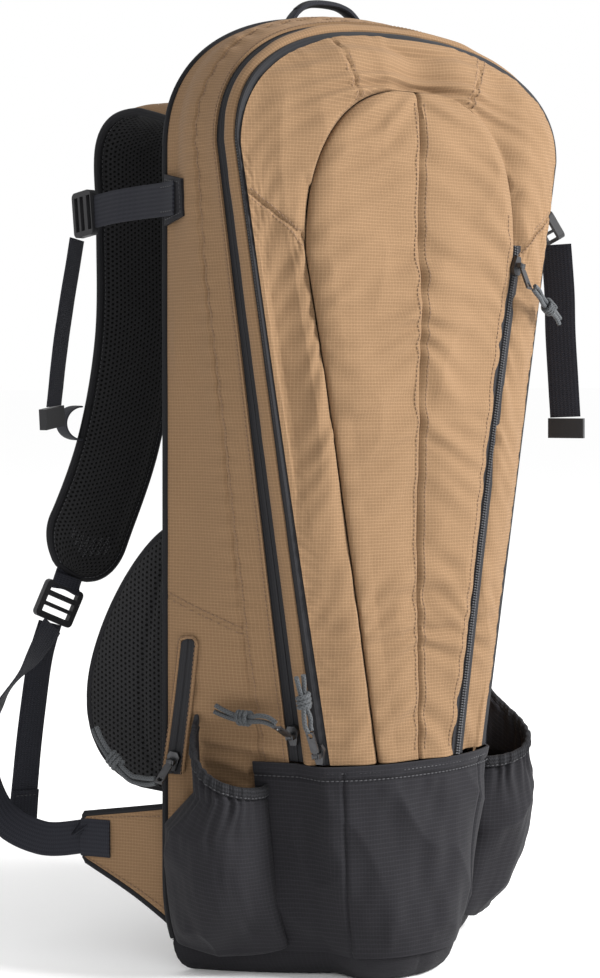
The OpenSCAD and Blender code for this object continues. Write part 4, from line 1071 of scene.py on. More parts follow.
base_levels = [(0.0, 0.017), (0.0004, 0.0125), (0.0016, 0.0095), (0.0045, 0.006), (0.009, 0.0028),
               (0.0145, 0.0006), (0.020, -0.0006), (0.0246, -0.0004), (0.0262, 0.0012), (0.0262, 0.003),
               (0.020, 0.0035), (0.006, 0.009), (0.0025, 0.017)]
base_loops = []
for i, (h, inset) in enumerate(base_levels):
    ring = outline_at(base_rise, inset)
    a = np.arange(len(ring)) / len(ring)
    wob = 0.0012 * noise(a * 0.9, h, 0.05) * (0.004 < h < 0.024) * (i < 8)
    q = ring - ring.mean(0)
    ring = ring + q / np.linalg.norm(q, axis=1, keepdims=True) * wob[:, None]
    base_loops.append(np.concatenate([ring, np.full((len(ring), 1), h)], 1))
base_loops = np.array(base_loops)
ring_uv = np.linspace(0, 0.8, base_loops.shape[1])
base_uv = np.stack([np.broadcast_to(ring_uv, base_loops.shape[:2]), base_loops[..., 2]
                    + 0.03 * np.arange(len(base_loops))[:, None] / 4], -1)
base = loft("base_panel_cloth", base_loops, base_uv.reshape(-1, 2), sharp=70)
place(base, "bag", black_cloth, "black_nylon", "base_panel")
base_ring = np.concatenate([outline_at(base_rise, -0.0012), np.full((base_loops.shape[1], 1), 0.0226)], 1)
sew("bag black", base_ring, (base_ring - [0, -0.01, 0.02]) * [1, 1, 0])
print("base:", len(base.data.polygons), "faces")

# %% [markdown]
# Each bottle pocket is a wide piece of cloth gathered on to a shorter elastic hem. The gathers are deep at
# the hem and open out below, where the slack hangs in a few slanting folds and tucks in under the base.

# %% The bottle pockets
in_pocket = (-0.09, 0.0, 0.09)  # a point inside the left side, which the pocket faces away from
pocket_rear_z, pocket_bulge, pocket_off = 0.184, 0.043, 0.0031


def hem_height(t):
    return mix(pocket_rear_z, pocket_front_z, power(t, hem_curve))


def pocket_surface(t, k):
    """Points of the left pocket: t from its rear seam to its front, k from its floor to its hem."""
    t, k = np.broadcast_arrays(t, k)
    z = mix(base_rise + 0.002, hem_height(t), np.maximum(k, 0))
    full = mix(0.30, 1.0, np.sin(np.pi / 2 * np.clip(k * 1.4, 0, 1)))
    swell = pocket_bulge * power(np.sin(np.pi * t), 0.55) * full * (1 - 0.2 * k)
    tuck = np.clip(-k / 0.14, 0, 1)
    rear_d = mix(0.002, pocket_rear_d, np.clip((z - 0.112) / 0.026, 0, 1))
    d = mix(rear_d, panel_d + 0.006, t)
    z = z - 0.010 * np.sqrt(tuck) * np.sin(np.pi * t) ** 0.5
    lift = mix(pocket_off + swell, 0.0005, tuck ** 1.5)
    p = wall(-girth_of(z), d)
    e = 0.004
    n = np.cross(wall(-girth_of(z), d + e) - wall(-girth_of(z), d - e), wall(-girth_of(z + e), d)
                 - wall(-girth_of(z - e), d))
    n /= np.linalg.norm(n, axis=-1, keepdims=True)
    n *= np.sign(-n[..., :1])
    return p + n * lift[..., None]


def side_pocket(side, name, hem_name, stands_for, elastic_for, seed):
    t = np.linspace(0, 1, 141)[None, :]
    k = np.linspace(-0.14, 1, 90)[:, None]
    p = pocket_surface(t, k)
    along = np.linspace(0, 0.155, 141)[None, :] + 0 * k
    up = (k * 0.13) + 0 * t
    shift = seed * 0.37
    pinch = np.exp(-(1 - k) / 0.22) * np.clip((t * (1 - t)) ** 0.5 * 3, 0, 1)
    phase = 2 * np.pi * (along + 0.006 * noise(along + shift, up, 0.03)) / 0.0150
    h = pinch * 0.0023 * (0.6 + 0.4 * noise(along + shift, up, 0.02)) * np.sin(phase)
    loose = np.clip((t * (1 - t)) ** 0.5 * 2.6, 0, 1) * np.clip((k + 0.1) / 0.2, 0, 1)
    slant = crease(along * 0.9 - up * 0.8 + shift, up * 0.8 + along * 0.5, 0.052)
    h = (h + loose * (0.0088 * (slant - 0.55) * (1 - 0.5 * pinch)
                      + 0.0010 * noise(along * 1.4 + shift, up * 1.2, 0.02)))
    h = h - 0.0012 * bump_at(k - 0.985, 0.012)
    outer = p + out_normals(p, in_pocket) * h[..., None]
    inner = outer - out_normals(outer, in_pocket) * 0.0014
    hem_k = np.linspace(0, 1, 15)[:, None]
    top = outer[-1][None]
    n = out_normals(p, in_pocket)[-1][None]
    smooth_top = p[-1][None] * 0.55 + top * 0.45
    roll = 0.0013 * np.sqrt(np.clip(1 - (2 * hem_k - 1) ** 2, 0, 1))
    hem = (smooth_top + np.array([0, 0, 1]) * (hem_k * 0.0085 - 0.0012)[..., None]
           + n * (0.0009 + roll + 0.0003 * np.sin(2 * np.pi * along[:1] / 0.0042))[..., None])
    hem_in = hem - n * (0.0018 + 2 * roll)[..., None]
    sign = np.array([1 if side < 0 else -1, 1, 1])
    pocket = slab(name, outer * sign, inner * sign, (along, up))
    place(pocket, "bag", black_cloth, "black_nylon", stands_for)
    band_ = slab(hem_name, hem * sign, hem_in * sign,
                 (np.broadcast_to(along[:1], hem.shape[:2]), np.broadcast_to(hem_k * 0.0085, hem.shape[:2])))
    place(band_, "bag", elastic, "elastic", elastic_for)
    sew("bag black", (hem[2] + n[0] * 0.0001) * sign, n[0] * sign, pitch=0.0040)
    return pocket


side_pocket(-1, "left_bottle_pocket_cloth", "left_pocket_hem", "left_side_pocket", "left_pocket_elastic", 1)
side_pocket(1, "right_bottle_pocket_cloth", "right_pocket_hem", "right_side_pocket", "right_pocket_elastic",
            2)
print("bottle pockets and hems")

# %% [markdown]
# The back is a flat of spacer mesh with three foam pads under it, two beside the spine and one for the
# lumbar, and a fin at each side that reaches forward to the hips. Foam under stretched mesh makes a
# crowned form: full in the middle, drawn down to a piped edge.

# %% The mesh back
back_u = even_girth(0.012, girth_of(base_rise), 200, 0.0)
back_v = np.linspace(-1, 1, 81)[None, :]
back_edge = wall(back_u, 0 * back_u)
back_p = np.stack([back_edge[:, :1] * back_v, np.full((201, 81), back_y + 0.0012), back_edge[:, 2:]
                   + 0 * back_v], -1)
back_h = 0.0010 + 0.0012 * noise(back_p[..., 0], back_p[..., 2], 0.05) * (1 - back_v ** 8)
back_sheet = cloth_panel("mesh_back", back_p, back_h, 0.0018, uv=(back_p[..., 0], back_p[..., 2]))
place(back_sheet, "bag", back_mesh, "black_mesh", "back_panel")
edge_u = even_girth(-girth_of(base_rise), girth_of(base_rise), 420, 0.0)
edge_run = wall(edge_u, 0 * edge_u) * [1.0, 1, 1] + [0, 0.0016, 0]
piping = tube("back_edge_binding", edge_run, 0.0026, 10)
place(piping, "bag", binding, "webbing")


def rounded_outline(w, h, r, n=12):
    out = []
    for sx, sz, turn in ((1, 1, 0), (-1, 1, 90), (-1, -1, 180), (1, -1, 270)):
        a = np.radians(turn + np.linspace(0, 90, n))
        out.append(np.stack([sx * (w / 2 - r) + r * np.cos(a), sz * (h / 2 - r) + r * np.sin(a)], -1))
    return np.concatenate(out)


def foam_pad(name, at, outline, y0, depth, channels=()):
    """A crowned pad on the back plane, with sewn channels across it at the given heights."""
    ring = np.concatenate([np.linspace(0, 0.9, 26), 0.9 + 0.1 * np.sin(np.linspace(0, np.pi / 2, 13))[1:]])
    q = outline[None] * np.maximum(ring, 0.004)[:, None, None]
    x, z = q[..., 0] + at[0], q[..., 1] + at[1]
    r = ring[:, None] + 0 * q[..., 0]
    y = depth * power(1 - r ** 7, 0.5) * (0.86 + 0.14 * (1 - r ** 2))
    y = y + 0.0009 * noise(x, z, 0.02) * (1 - r ** 6)
    for c in channels:
        y = y - 0.45 * depth * bump_at(z - c, 0.0035) * (1 - r ** 10)
    top = np.stack([x, y0 + np.maximum(y, 0.0002), z], -1)
    loops = np.concatenate([top[::-1].transpose(0, 1, 2), top[:1] * [1, 0, 1] + [0, y0, 0]])
    bottom = top[-1] * [1, 0, 1] + [0, y0, 0]
    rings = np.concatenate([bottom[None], top[::-1]])
    uv = np.stack([rings[..., 0], rings[..., 2]], -1).reshape(-1, 2)
    pad = loft(name, rings, uv, sharp=60)
    edge = np.stack([outline[:, 0] + at[0], np.full(len(outline), y0 + 0.0024), outline[:, 1] + at[1]], -1)
    cord = tube(name + "_piping", edge, 0.0019, 8, closed=True)
    return pad, cord


pad_base = back_y + 0.0022
pads = []
for word, sx in (("left", -1), ("right", 1)):
    pads.append(foam_pad(word + "_upper_back_pad", (sx * bag_w * 0.25, 0.470),
                         rounded_outline(bag_w * 0.36 - 0.004, 0.206, 0.028), pad_base, 0.0155, (0.42, 0.47, 0.52)))
pads.append(foam_pad("lumbar_pad", (0, 0.190), rounded_outline(bag_w * 0.78 - 0.004, 0.116, 0.034),
                     pad_base, 0.0155))
for i, (pad, cord) in enumerate(pads):
    place(pad, "bag", back_mesh, "black_mesh", *(["back_pads"] if i == 0 else []))
    place(cord, "bag", binding, "webbing")
print("back pads:", [p.name for p, _ in pads])

# %% [markdown]
# The hip fins are foam pads covered in mesh, which stand off the back near the bottom. They are fullest at
# half height and thin out to the bound edge.

# %% The hip fins
hip_root_x, hip_low_z, hip_high_z, hip_reach, hip_t = bag_w * 0.39 + 0.006, 0.128, 0.325, 0.074, 0.014
hip_out = np.array([-0.62, 0.785, 0.0])


def hip_fin(side, name, stands_for):
    t = np.linspace(0, 1, 61)[:, None]
    k = np.linspace(0, 1, 31)[None, :]
    reach = hip_reach * power(np.sin(np.pi * power(t, 0.62)), 0.62) + 0.010
    soft = power(np.sin(np.pi * mix(0.04, 0.96, t)), 0.5)
    crown = hip_t / 2 * np.sqrt(np.clip(1 - k ** 5, 0, 1)) * (0.3 + 0.7 * soft) + 0.0012
    crown = crown * (1 - 0.25 * bump_at(k - 0.45, 0.03))
    root = np.array([-hip_root_x, back_y + 0.008, 0])
    normal = np.array([-hip_out[1], hip_out[0], 0])
    p = (root + hip_out * (reach * k)[..., None]
         + np.array([0, 0, 1]) * (mix(hip_low_z, hip_high_z, t) + 0 * k)[..., None])
    wob = 0.0008 * noise(t * 0.2, k * 0.08 + side, 0.02)
    outer, inner = p + normal * (crown + wob)[..., None], p - normal * (crown - wob)[..., None]
    sign = np.array([1 if side < 0 else -1, 1, 1])
    fin = slab(name, outer * sign, inner * sign, ((reach * k), mix(hip_low_z, hip_high_z, t) + 0 * k))
    place(fin, "bag", back_mesh, "black_mesh", stands_for)
    edge = np.concatenate([p[0, 2::3], p[1:-1, -1], p[-1, ::-3][:-1]])
    rim = tube(name + "_binding", smooth_run(edge * sign, 2), 0.0034, 10)
    place(rim, "bag", binding, "webbing")


hip_fin(-1, "left_hip_fin", "left_hip_pad")
hip_fin(1, "right_hip_fin", "right_hip_pad")
print("hip fins")

# %% [markdown]
# A shoulder strap is foam between two cloths: tan ripstop outside and spacer mesh against the body, with
# a black binding sewn round the edge. It is swept along a line that leaves the yoke, arches over the
# shoulder and comes down to the ladder lock, and its section is crowned on both faces.

# %% The shoulder straps
strap_w, strap_t = 0.072, 0.013
strap_path = [(-0.058, 0.0504, 0.6114), (-0.0585, 0.061, 0.6175), (-0.070, 0.095, 0.635),
              (-0.088, 0.145, 0.648),
              (-0.100, 0.176, 0.626), (-0.099, 0.178, 0.560), (-0.101, 0.176, 0.470), (-0.116, 0.177, 0.385),
              (-0.141, 0.177, 0.318), (-0.160, 0.174, 0.284)]
strap_w0, strap_w1 = (1, 0, 0), (0.9, 0.12, 0.42)


def strap_width(run, wide, round_end=0.034):
    left_over = np.linalg.norm(run - run[-1], axis=1)
    a = np.clip(left_over / round_end, 0, 1)
    return wide * np.sqrt(1 - (1 - a * 0.93 - 0.07) ** 2)


def strap_face(name, run, side, face_sign, finish, slot, body, stands_for=()):
    """One face of the padded strap: a crowned sheet from edge to edge."""
    t, w = across(run, strap_w0, strap_w1)
    u = np.cross(t, w)
    width = strap_width(run, strap_w - 0.003)
    v = np.linspace(-1, 1, 29)[None, :]
    v = np.sign(v) * (1 - (1 - np.abs(v)) ** 1.35)
    reach = np.concatenate([[0], np.cumsum(np.linalg.norm(np.diff(run, axis=0), axis=1))])[:, None]
    ends = np.clip(width[:, None] / strap_w, 0, 1)
    crown = (strap_t / 2 - 0.0004) * (1 - np.abs(v) ** 4.5) * (0.35 + 0.65 * ends)
    crown = crown + 0.0007 * noise(reach, v * 0.03 + face_sign, 0.022) * (1 - v ** 4) + 0.0005
    inner = crown * 0.0 + 0.0001
    points = run[:, None] + w[:, None] * (v * width[:, None] / 2)[..., None]
    up = u[:, None] * face_sign
    sign = np.array([1 if side < 0 else -1, 1, 1])
    uv = (v * strap_w / 2 + 0 * reach, reach + 0 * v)
    piece = slab(name, (points + up * crown[..., None]) * sign, (points + up * inner[..., None]) * sign, uv)
    return place(piece, body, finish, slot, *stands_for)


def shoulder_strap(side, word):
    run = smooth_run(strap_path, 14)
    body = word + "_strap"
    strap_face(word + "_strap_mesh", run, side, 1.0, back_mesh, "black_mesh", body, (word + "_strap_pad",))
    strap_face(word + "_strap_outer", run, side, -1.0, tan_ripstop, "tan_ripstop", body)
    t, w = across(run, strap_w0, strap_w1)
    u = np.cross(t, w)
    width = strap_width(run, strap_w - 0.002)[:, None]
    left, right = run - w * width / 2, run + w * width / 2
    edge = np.concatenate([left[::2], [run[-1] + t[-1] * 0.001], right[::-2]])
    sign = np.array([1 if side < 0 else -1, 1, 1])
    rim = tube(word + "_strap_binding", smooth_run(edge, 2) * sign, 0.0031, 10, lean=(0.13, 0.9, 0.3))
    place(rim, body, binding, "webbing")
    for off in (0.93, -0.93):
        sew(word + " strap", (run + w * width / 2 * off + u * 0.0034) * sign, u * sign)
    zig = np.linspace(0.08, 0.80, 15)
    for i in range(14):
        a, b = [run[-1] - t[-1] * (0.020 + 0.034 * abs(z - 0.44)) + w[-1] * (z - 0.44) * 0.054
                for z in zig[i:i + 2]]
        mid = (a + b) / 2 - t[-1] * 0.008 * (-1) ** i
        line = np.array([a, mid, b]) + u[-1] * 0.0062
        sew(word + " strap", line * sign, u[-1] * sign, pitch=0.0025, length=0.0021)


for side, word in ((-1, "left"), (1, "right")):
    shoulder_strap(side, word)
print("shoulder straps")

# %% [markdown]
# Small loops of webbing hold the loose parts: a keeper on the strap, and a tab at its foot that the ladder
# lock hangs from. Each is a band that is bent round and sewn down at its ends.

# %% Keeper loops and lock tabs
def mirror_x(points, side):
    return np.asarray(points, float) * np.array([1 if side < 0 else -1, 1, 1])


def strap_loops(side, word):
    turn = np.radians(np.linspace(-90, 90, 25))
    at = np.array([-0.1524, 0.177, 0.400])
    arc = at + np.stack([-0.014 * np.cos(turn), 0 * turn, 0.013 * np.sin(turn)], -1)
    keeper = band(word + "_strap_keeper", mirror_x(arc, side), (0, 1, 0), (0, 1, 0), 0.020, web_t)
    place(keeper, word + "_strap", webbing, "webbing", word + "_strap_loop")
    tab = smooth_run([(-0.1575, 0.1742, 0.2880), (-0.161, 0.1739, 0.2818), (-0.1626, 0.1737, 0.278),
                      (-0.1644, 0.1734, 0.2735), (-0.1660, 0.1722, 0.2700), (-0.1652, 0.1705, 0.2735), (-0.1630, 0.1700, 0.2800)], 6)
    w = mirror_x((0.9, 0.16, -0.4), side) * (1 if side < 0 else -1)
    loop = band(word + "_lock_tab", mirror_x(tab, side), w, w, web_w, web_t)
    place(loop, word + "_strap", webbing, "webbing")


for side, word in ((-1, "left"), (1, "right")):
    strap_loops(side, word)
print("keeper loops and lock tabs")

# %% [markdown]
# Webbing is stiff along its width and soft along its length, so a strap hangs in one clean curve with a
# slow twist. Free ends are folded back and sewn, which shows as a thicker last few centimetres.

# %% Webbing of the harness
def free_tail(name, path, w0, w1, side, body, stands_for, fold=0.03):
    """A hanging tail with its end folded back on itself and sewn."""
    run = smooth_run(mirror_x(path, side), 10)
    s = 1 if side < 0 else -1
    wa, wb = mirror_x(w0, side) * s, mirror_x(w1, side) * s
    strip = band(name, run, wa, wb, web_w, web_t, wave=0.0002)
    place(strip, body, webbing, "webbing", *stands_for)
    reach = np.linalg.norm(run - run[-1], axis=1)
    end = run[reach < fold]
    t, w = across(run, wa, wb)
    u = np.cross(t, w)[reach < fold]
    hem = band(name + "_fold", end + u * web_t * 1.02, wa if len(end) > 40
               else wb, wb, web_w * 0.99, web_t * 0.9)
    place(hem, body, webbing, "webbing")
    for off in (0.004, fold - 0.006):
        i = np.argmin(np.abs(reach - off))
        across_line = run[i] + w[i] * np.linspace(-0.4, 0.4, 12)[:, None] * web_w
        sew(body + " web", across_line + np.cross(t, w)[i] * web_t * 1.55, np.cross(t, w)[i])
    return strip


tail_path = [(-0.1774, 0.1734, 0.244), (-0.186, 0.174, 0.215), (-0.193, 0.175, 0.165),
             (-0.198, 0.176, 0.115), (-0.200, 0.176, 0.088)]
for side, word in ((-1, "left"), (1, "right")):
    free_tail(word + "_strap_tail_web", tail_path, (0.93, 0.3, 0.2), (0.95, 0.2, 0.2), side, word + "_lock",
              (word + "_strap_tail",))

sling_path = [(-0.1795, 0.1040, 0.0920), (-0.181, 0.1052, 0.091), (-0.204, 0.130, 0.088),
              (-0.226, 0.154, 0.104), (-0.234, 0.166, 0.146),
              (-0.224, 0.163, 0.186), (-0.204, 0.154, 0.216), (-0.183, 0.1565, 0.244)]
for side, word in ((-1, "left"), (1, "right")):
    run = smooth_run(mirror_x(sling_path, side), 12)
    s = 1 if side < 0 else -1
    sling = band(word + "_sling_web", run, mirror_x((-0.3, 0.3, 0.9), side) * s,
                 mirror_x((0.9, 0.35, 0.25), side) * s, web_w, web_t, wave=0.0003)
    place(sling, "bag", webbing, "webbing", word + "_wing_webbing")
print("strap tails and slings")

# %% [markdown]
# The lower wings are two flat tapering pieces of cloth with a bound edge. They spread the pull of the lower
# webbing over the corner of the bag, and a tab covers the place where the webbing is sewn on.

# %% The lower wings
wing_root, wing_tip = np.array([-0.132, back_y + 0.0034, 0]), np.array([-0.180, 0.104, 0.104])


def wing(side, word):
    k = np.linspace(0, 1, 41)[None, :]
    j = np.linspace(0, 1, 49)[:, None]
    low = mix(0.026, 0.104 - 0.030, power(k, 0.8))
    high = mix(0.120, 0.108, k)
    x, y = mix(wing_root[0], wing_tip[0], k) + 0 * j, mix(wing_root[1], wing_tip[1], k) + 0 * j
    z = mix(low, high, j)
    p = np.stack([x, y, z], -1)
    n = np.array([0.77, 0.64, 0])
    h = 0.0012 * noise(k * 0.08 + side, j * 0.09, 0.03) * np.clip(k * 4, 0, 1)
    outer, inner = p + n * (0.0015 + h)[..., None], p - n * (0.0013 - h)[..., None]
    fin = slab(word + "_wing_cloth", mirror_x(outer, side), mirror_x(inner, side), (k * 0.08 + 0 * j, z))
    place(fin, "bag", tan_ripstop, "tan_ripstop", word + "_wing")
    mid = (outer + inner) / 2
    rim = tube(word + "_wing_binding",
               mirror_x(np.concatenate([mid[0, ::3], mid[3:-1:4, -1], mid[-1, ::-3]]), side), 0.0024, 10)
    place(rim, "bag", binding, "webbing")
    for row in (mid[4], mid[-5]):
        sew("bag tan", mirror_x(row - n * 0.0018, side), mirror_x(-n, side))
    tab_k = np.linspace(0.72, 1.03, 9)[:, None]
    tab_run = mix(wing_root, wing_tip, tab_k)
    tab_run[:, 2] = 0.091
    tab = band(word + "_wing_tab", mirror_x(tab_run, side), (0, 0, 1), (0, 0, 1), web_w + 0.003, 0.0072)
    place(tab, "bag", webbing, "webbing")


for side, word in ((-1, "left"), (1, "right")):
    wing(side, word)
print("lower wings")

# %% [markdown]
# The compression straps start at a patch sewn on the side, run to a buckle and hang down as a tail with a
# clip at its end. On the left the strap reaches back past the edge of the bag; on the right its tail
# hangs at the front.

# %% The compression straps
patch_z = 0.566


def girth_side(side, z):
    return side * girth_of(z)


def patch(side, word):
    k = np.linspace(0, 1, 25)[None, :]
    j = np.linspace(0, 1, 21)[:, None]
    z = patch_z + (j - 0.5) * 0.038 * (1 - 0.3 * k)
    p, n = on_wall(girth_side(side, z), mix(0.001, 0.030, k) + 0 * z, 0.0)
    puff = 0.0006 * (1 - (2 * j - 1) ** 4) * (1 - (2 * k - 1) ** 4)
    outer, inner = p + n * (0.0027 + puff)[..., None], p + n * 0.0004
    piece = slab(word + "_compression_patch", outer, inner, (k * 0.029 + 0 * j, z + 0 * k))
    place(piece, "bag", black_cloth, "black_nylon", *(["compression_patches"] if side < 0 else []))
    ring = np.concatenate([outer[2, 2:-2], outer[2:-2, -3], outer[-3, -3:2:-1], outer[-3:2:-1, 2]])
    up = np.concatenate([n[2, 2:-2], n[2:-2, -3], n[-3, -3:2:-1], n[-3:2:-1, 2]])
    sew("bag black", ring + up * 0.0001, up)


for side, word in ((-1, "left"), (1, "right")):
    patch(side, word)

skin_lift, patch_t, running_gap = 0.0005, 0.0016, 0.0003
comp_off = skin_lift + patch_t + 3 * running_gap + web_t / 2
left_a = on_wall(girth_side(-1, patch_z), 0.022)
left_b = on_wall(girth_side(-1, patch_z), 0.004)
out_l, out_l2 = left_a[1], left_b[1]
left_run = smooth_run([left_a[0] + out_l * (comp_off + 0.001), left_b[0] + out_l2 * (comp_off + 0.001),
                       (-0.152, 0.066, patch_z),
                       (-0.158, 0.096, patch_z - 0.001), (-0.162, 0.124, patch_z - 0.003)], 12)
place(band("left_compression_web", left_run, (0, 0, 1), (0, 0, 1), web_w, web_t, wave=0.0002), "bag",
      webbing, "webbing", "left_compression_webbing")
right_a, right_b = on_wall(girth_side(1, patch_z), 0.006), on_wall(girth_side(1, patch_z), 0.024)
out_r, out_r2 = right_a[1], right_b[1]
right_run = smooth_run([right_a[0] + out_r * (comp_off + 0.001), right_b[0] + out_r2 * (comp_off + 0.001),
                        (0.156, 0.004, patch_z + 0.001), (0.166, -0.002, patch_z)], 12)
place(band("right_compression_web", right_run, (0, 0, 1), (0.1, 0, 1), web_w, web_t, wave=0.0002), "bag",
      webbing, "webbing", "right_compression_webbing")
for run, i0, i1, out in ((left_run, 2, 14, out_l), (right_run, 2, 14, out_r)):
    for z in (-0.009, 0.009):
        sew("bag black", run[i0:i1] + [0, 0, z] + out * 0.0011, out)
left_tail = [(-0.168, 0.144, 0.5428), (-0.172, 0.146, 0.515), (-0.178, 0.148, 0.475),
             (-0.183, 0.150, 0.430), (-0.184, 0.152, 0.414)]
right_tail = [(0.1799, -0.0109, 0.5429), (0.185, -0.009, 0.505), (0.187, -0.008, 0.470),
              (0.190, -0.008, 0.430), (0.192, -0.008, 0.404)]
for name, path, w, body in (("left", left_tail, (0.75, 0.6, 0.25), "left_tail"),
                            ("right", right_tail, (0.6, -0.8, 0), "right_tail")):
    run = smooth_run(path, 12)
    place(band(name + "_compression_tail_web", run, w, w, web_w, web_t, wave=0.0003), body, webbing,
          "webbing", name + "_compression_tail")
print("compression straps")

# %% [markdown]
# The haul handle is a loop of webbing, wrapped where the hand goes and flat where it is sewn into the back.

# %% The haul handle
handle_y = back_y + 0.002 + 0.003 + 0.0073
handle_path = [(-0.036, handle_y, 0.664), (-0.036, handle_y, 0.700), (-0.022, handle_y, 0.722),
               (0, handle_y, 0.727),
               (0.022, handle_y, 0.722), (0.036, handle_y, 0.700), (0.036, handle_y, 0.664)]
handle_run = smooth_run(handle_path, 12)
handle_web = band("haul_handle_web", handle_run, (0, 1, 0), (0, 1, 0), 0.0128, 0.0036, 0.7, wave=0.0002)
place(handle_web, "handle", webbing, "webbing", "haul_handle")
grip = handle_run[22:-22]
place(tube("haul_handle_wrap", grip, 0.0030, 12, flat=1.9, lean=(0.05, 0.02, 1.0)), "handle", binding,
      "webbing")
print("haul handle")

# %% [markdown]
# Both shoulder straps are sewn under one yoke panel, with two rounds of stitches, because the whole load
# hangs from there.

# %% The yoke panel
def yoke():
    x = np.linspace(-1, 1, 61)[None, :] * 0.0945
    z = np.linspace(0.5885, 0.6835, 41)[:, None]
    p = np.stack([x + 0 * z, 0 * x + 0 * z + back_y + 0.0042, z + 0 * x], -1)
    v = np.clip(1 - np.maximum(np.abs(x) / 0.0945, np.abs(z - 0.636) / 0.0475) ** 14, 0, 1)
    h = 0.0008 * v + 0.0004 * noise(x, z, 0.02)
    piece = cloth_panel("yoke_panel", p, h, 0.0022, uv=(x + 0 * z, z + 0 * x))
    place(piece, "bag", black_cloth, "black_nylon", "strap_yoke")
    for inset in (0.003, 0.007):
        ring = rounded_outline(0.189 - 2 * inset, 0.095 - 2 * inset, 0.006)
        ring = np.concatenate([ring, ring[:1]])
        sew("bag black", np.stack([ring[:, 0], 0 * ring[:, 0] + back_y + 0.0052, ring[:, 1] + 0.636], -1),
            (0.0, 1.0, 0.02))


yoke()
print("yoke")

# %% [markdown]
# Each zip pull carries a loop of braided cord. Both strands pass through the eye, meet in a wrapped knot
# and end a little beyond it, with the ends melted. They are real cords with a real length, so each strand
# is one curve that starts at the eye, and the knot is a short coil of the same cord round both.

# %% The pull cords
cord_d, strand_half = 0.0035, 0.0021
routes = {
    "main": [(-0.102, -0.0455, 0.190), (-0.104, -0.041, 0.192), (-0.106, -0.037, 0.193),
             (-0.108, -0.032, 0.193), (-0.110, -0.027, 0.192),
             (-0.113, -0.020, 0.192), (-0.117, -0.013, 0.192), (-0.121, -0.006, 0.194), (-0.125, 0.001, 0.197)],
    "front": [(-0.0865, -0.067, 0.187), (-0.088, -0.067, 0.191), (-0.089, -0.068, 0.195),
              (-0.090, -0.068, 0.199), (-0.091, -0.068, 0.203),
              (-0.092, -0.068, 0.209), (-0.093, -0.068, 0.215), (-0.094, -0.068, 0.221), (-0.096, -0.069, 0.227)],
    "pocket": [(0.097, -0.088, 0.503), (0.100, -0.087, 0.501), (0.104, -0.086, 0.498),
               (0.108, -0.084, 0.495), (0.113, -0.081, 0.492),
               (0.119, -0.078, 0.489), (0.125, -0.075, 0.486), (0.131, -0.072, 0.483), (0.136, -0.070, 0.479)],
    "side": [(-0.1605, 0.0255, 0.1445), (-0.163, 0.032, 0.143), (-0.166, 0.038, 0.143),
             (-0.170, 0.045, 0.144), (-0.174, 0.052, 0.149),
             (-0.177, 0.059, 0.155), (-0.181, 0.065, 0.162), (-0.184, 0.070, 0.170), (-0.186, 0.074, 0.178)],
}
cord_sides = {"main": (-0.2, 0.3, 0.93), "front": (1, 0, 0), "pocket": (0, 0, 1), "side": (0, 0, 1)}


def run_length(run):
    return float(np.linalg.norm(np.diff(run, axis=0), axis=1).sum())


def pull(word):
    run = smooth_run(routes[word], 5)
    body = word + "_pull"
    t, w = across(run, cord_sides[word], cord_sides[word])
    n = np.cross(t, w)
    at = np.linspace(0, 1, len(run))[:, None]
    spread = (strand_half
              * (0.75 + 0.35 * np.sin(np.pi * np.clip(at / 0.5, 0, 1)) + 0.5 * np.clip(at - 0.75, 0, 1) * 4))
    middle = run[len(run) * 5 // 8]
    # the knot: four wraps of cord, wider than the strands that it holds
    turns = np.linspace(0, 2 * np.pi * 3.2, 90)
    i = len(run) * 5 // 8
    along = np.linspace(-0.0052, 0.0052, 90)
    knot_run = (middle + t[i] * along[:, None]
                + (w[i] * np.cos(turns)[:, None] + n[i] * np.sin(turns)[:, None] * 0.85) * 0.0042)
    knot = tube(word + "_cord_knot", knot_run, cord_d / 2 * 0.95, 10)
    place(knot, body, pull_cord, "pull_cord")
    strands = []
    for k, s in enumerate((-1, 1)):
        wiggle = 0.0007 * np.sin(at * 9 + k * 2.0) * np.clip(at * 3, 0, 1)
        line = run + w * spread * s + n * wiggle
        strand = tube(word + "_cord_strand_" + "ab"[k], line, cord_d / 2 * 0.98, 12)
        place(strand, body, pull_cord, "pull_cord", *([word + "_zip_cord"] if k == 0 else []))
        strands.append(run_length(line))
    print(word, "pull cord strands", [round(x, 3) for x in strands], "m")


for word in routes:
    pull(word)

# %% [markdown]
# Sliders, pullers, buckles, ladder locks and clips already have their true shapes from the frame. What
# they lack is what moulding and casting leave: rounded edges. A small bevel and a finish do that.

# %% Buckles, clips and zip hardware
def dress(node_name, finish, bevel, segments=3):
    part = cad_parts[node_name]
    part.data.materials.clear()
    part.data.materials.append(finish)
    if bevel:
        rounding = part.modifiers.new("rounded_edges", "BEVEL")
        rounding.width, rounding.segments, rounding.limit_method = bevel, segments, "ANGLE"
        rounding.angle_limit = math.radians(35)
        part.modifiers.new("even_shading", "WEIGHTED_NORMAL")


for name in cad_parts:
    if name.endswith(("_slider", "_puller")):
        dress(name, zip_metal, 0.00035)
    elif name.endswith(("_buckle", "_lock", "_clip")):
        dress(name, buckle_plastic, 0.0011)
dress("back_foam", closed_foam, 0.0)
dress("frame_sheet", sheet_plastic, 0.0003)
print("hardware finished")

# %% [markdown]
# The side-entry zip reaches the main compartment without opening the flap. It is a short coil zip set in a
# slot low on the left side, with the slot's raw edge turned over a fine cord and topstitched.

# %% The side zip
def side_zip_point(k, off, lift):
    z, d = mix(0.146, 0.246, k), mix(0.005, 0.018, k)
    p, n = on_wall(-girth_of(z), d + off, 0.0)
    return p + n * np.asarray(lift)[..., None], n


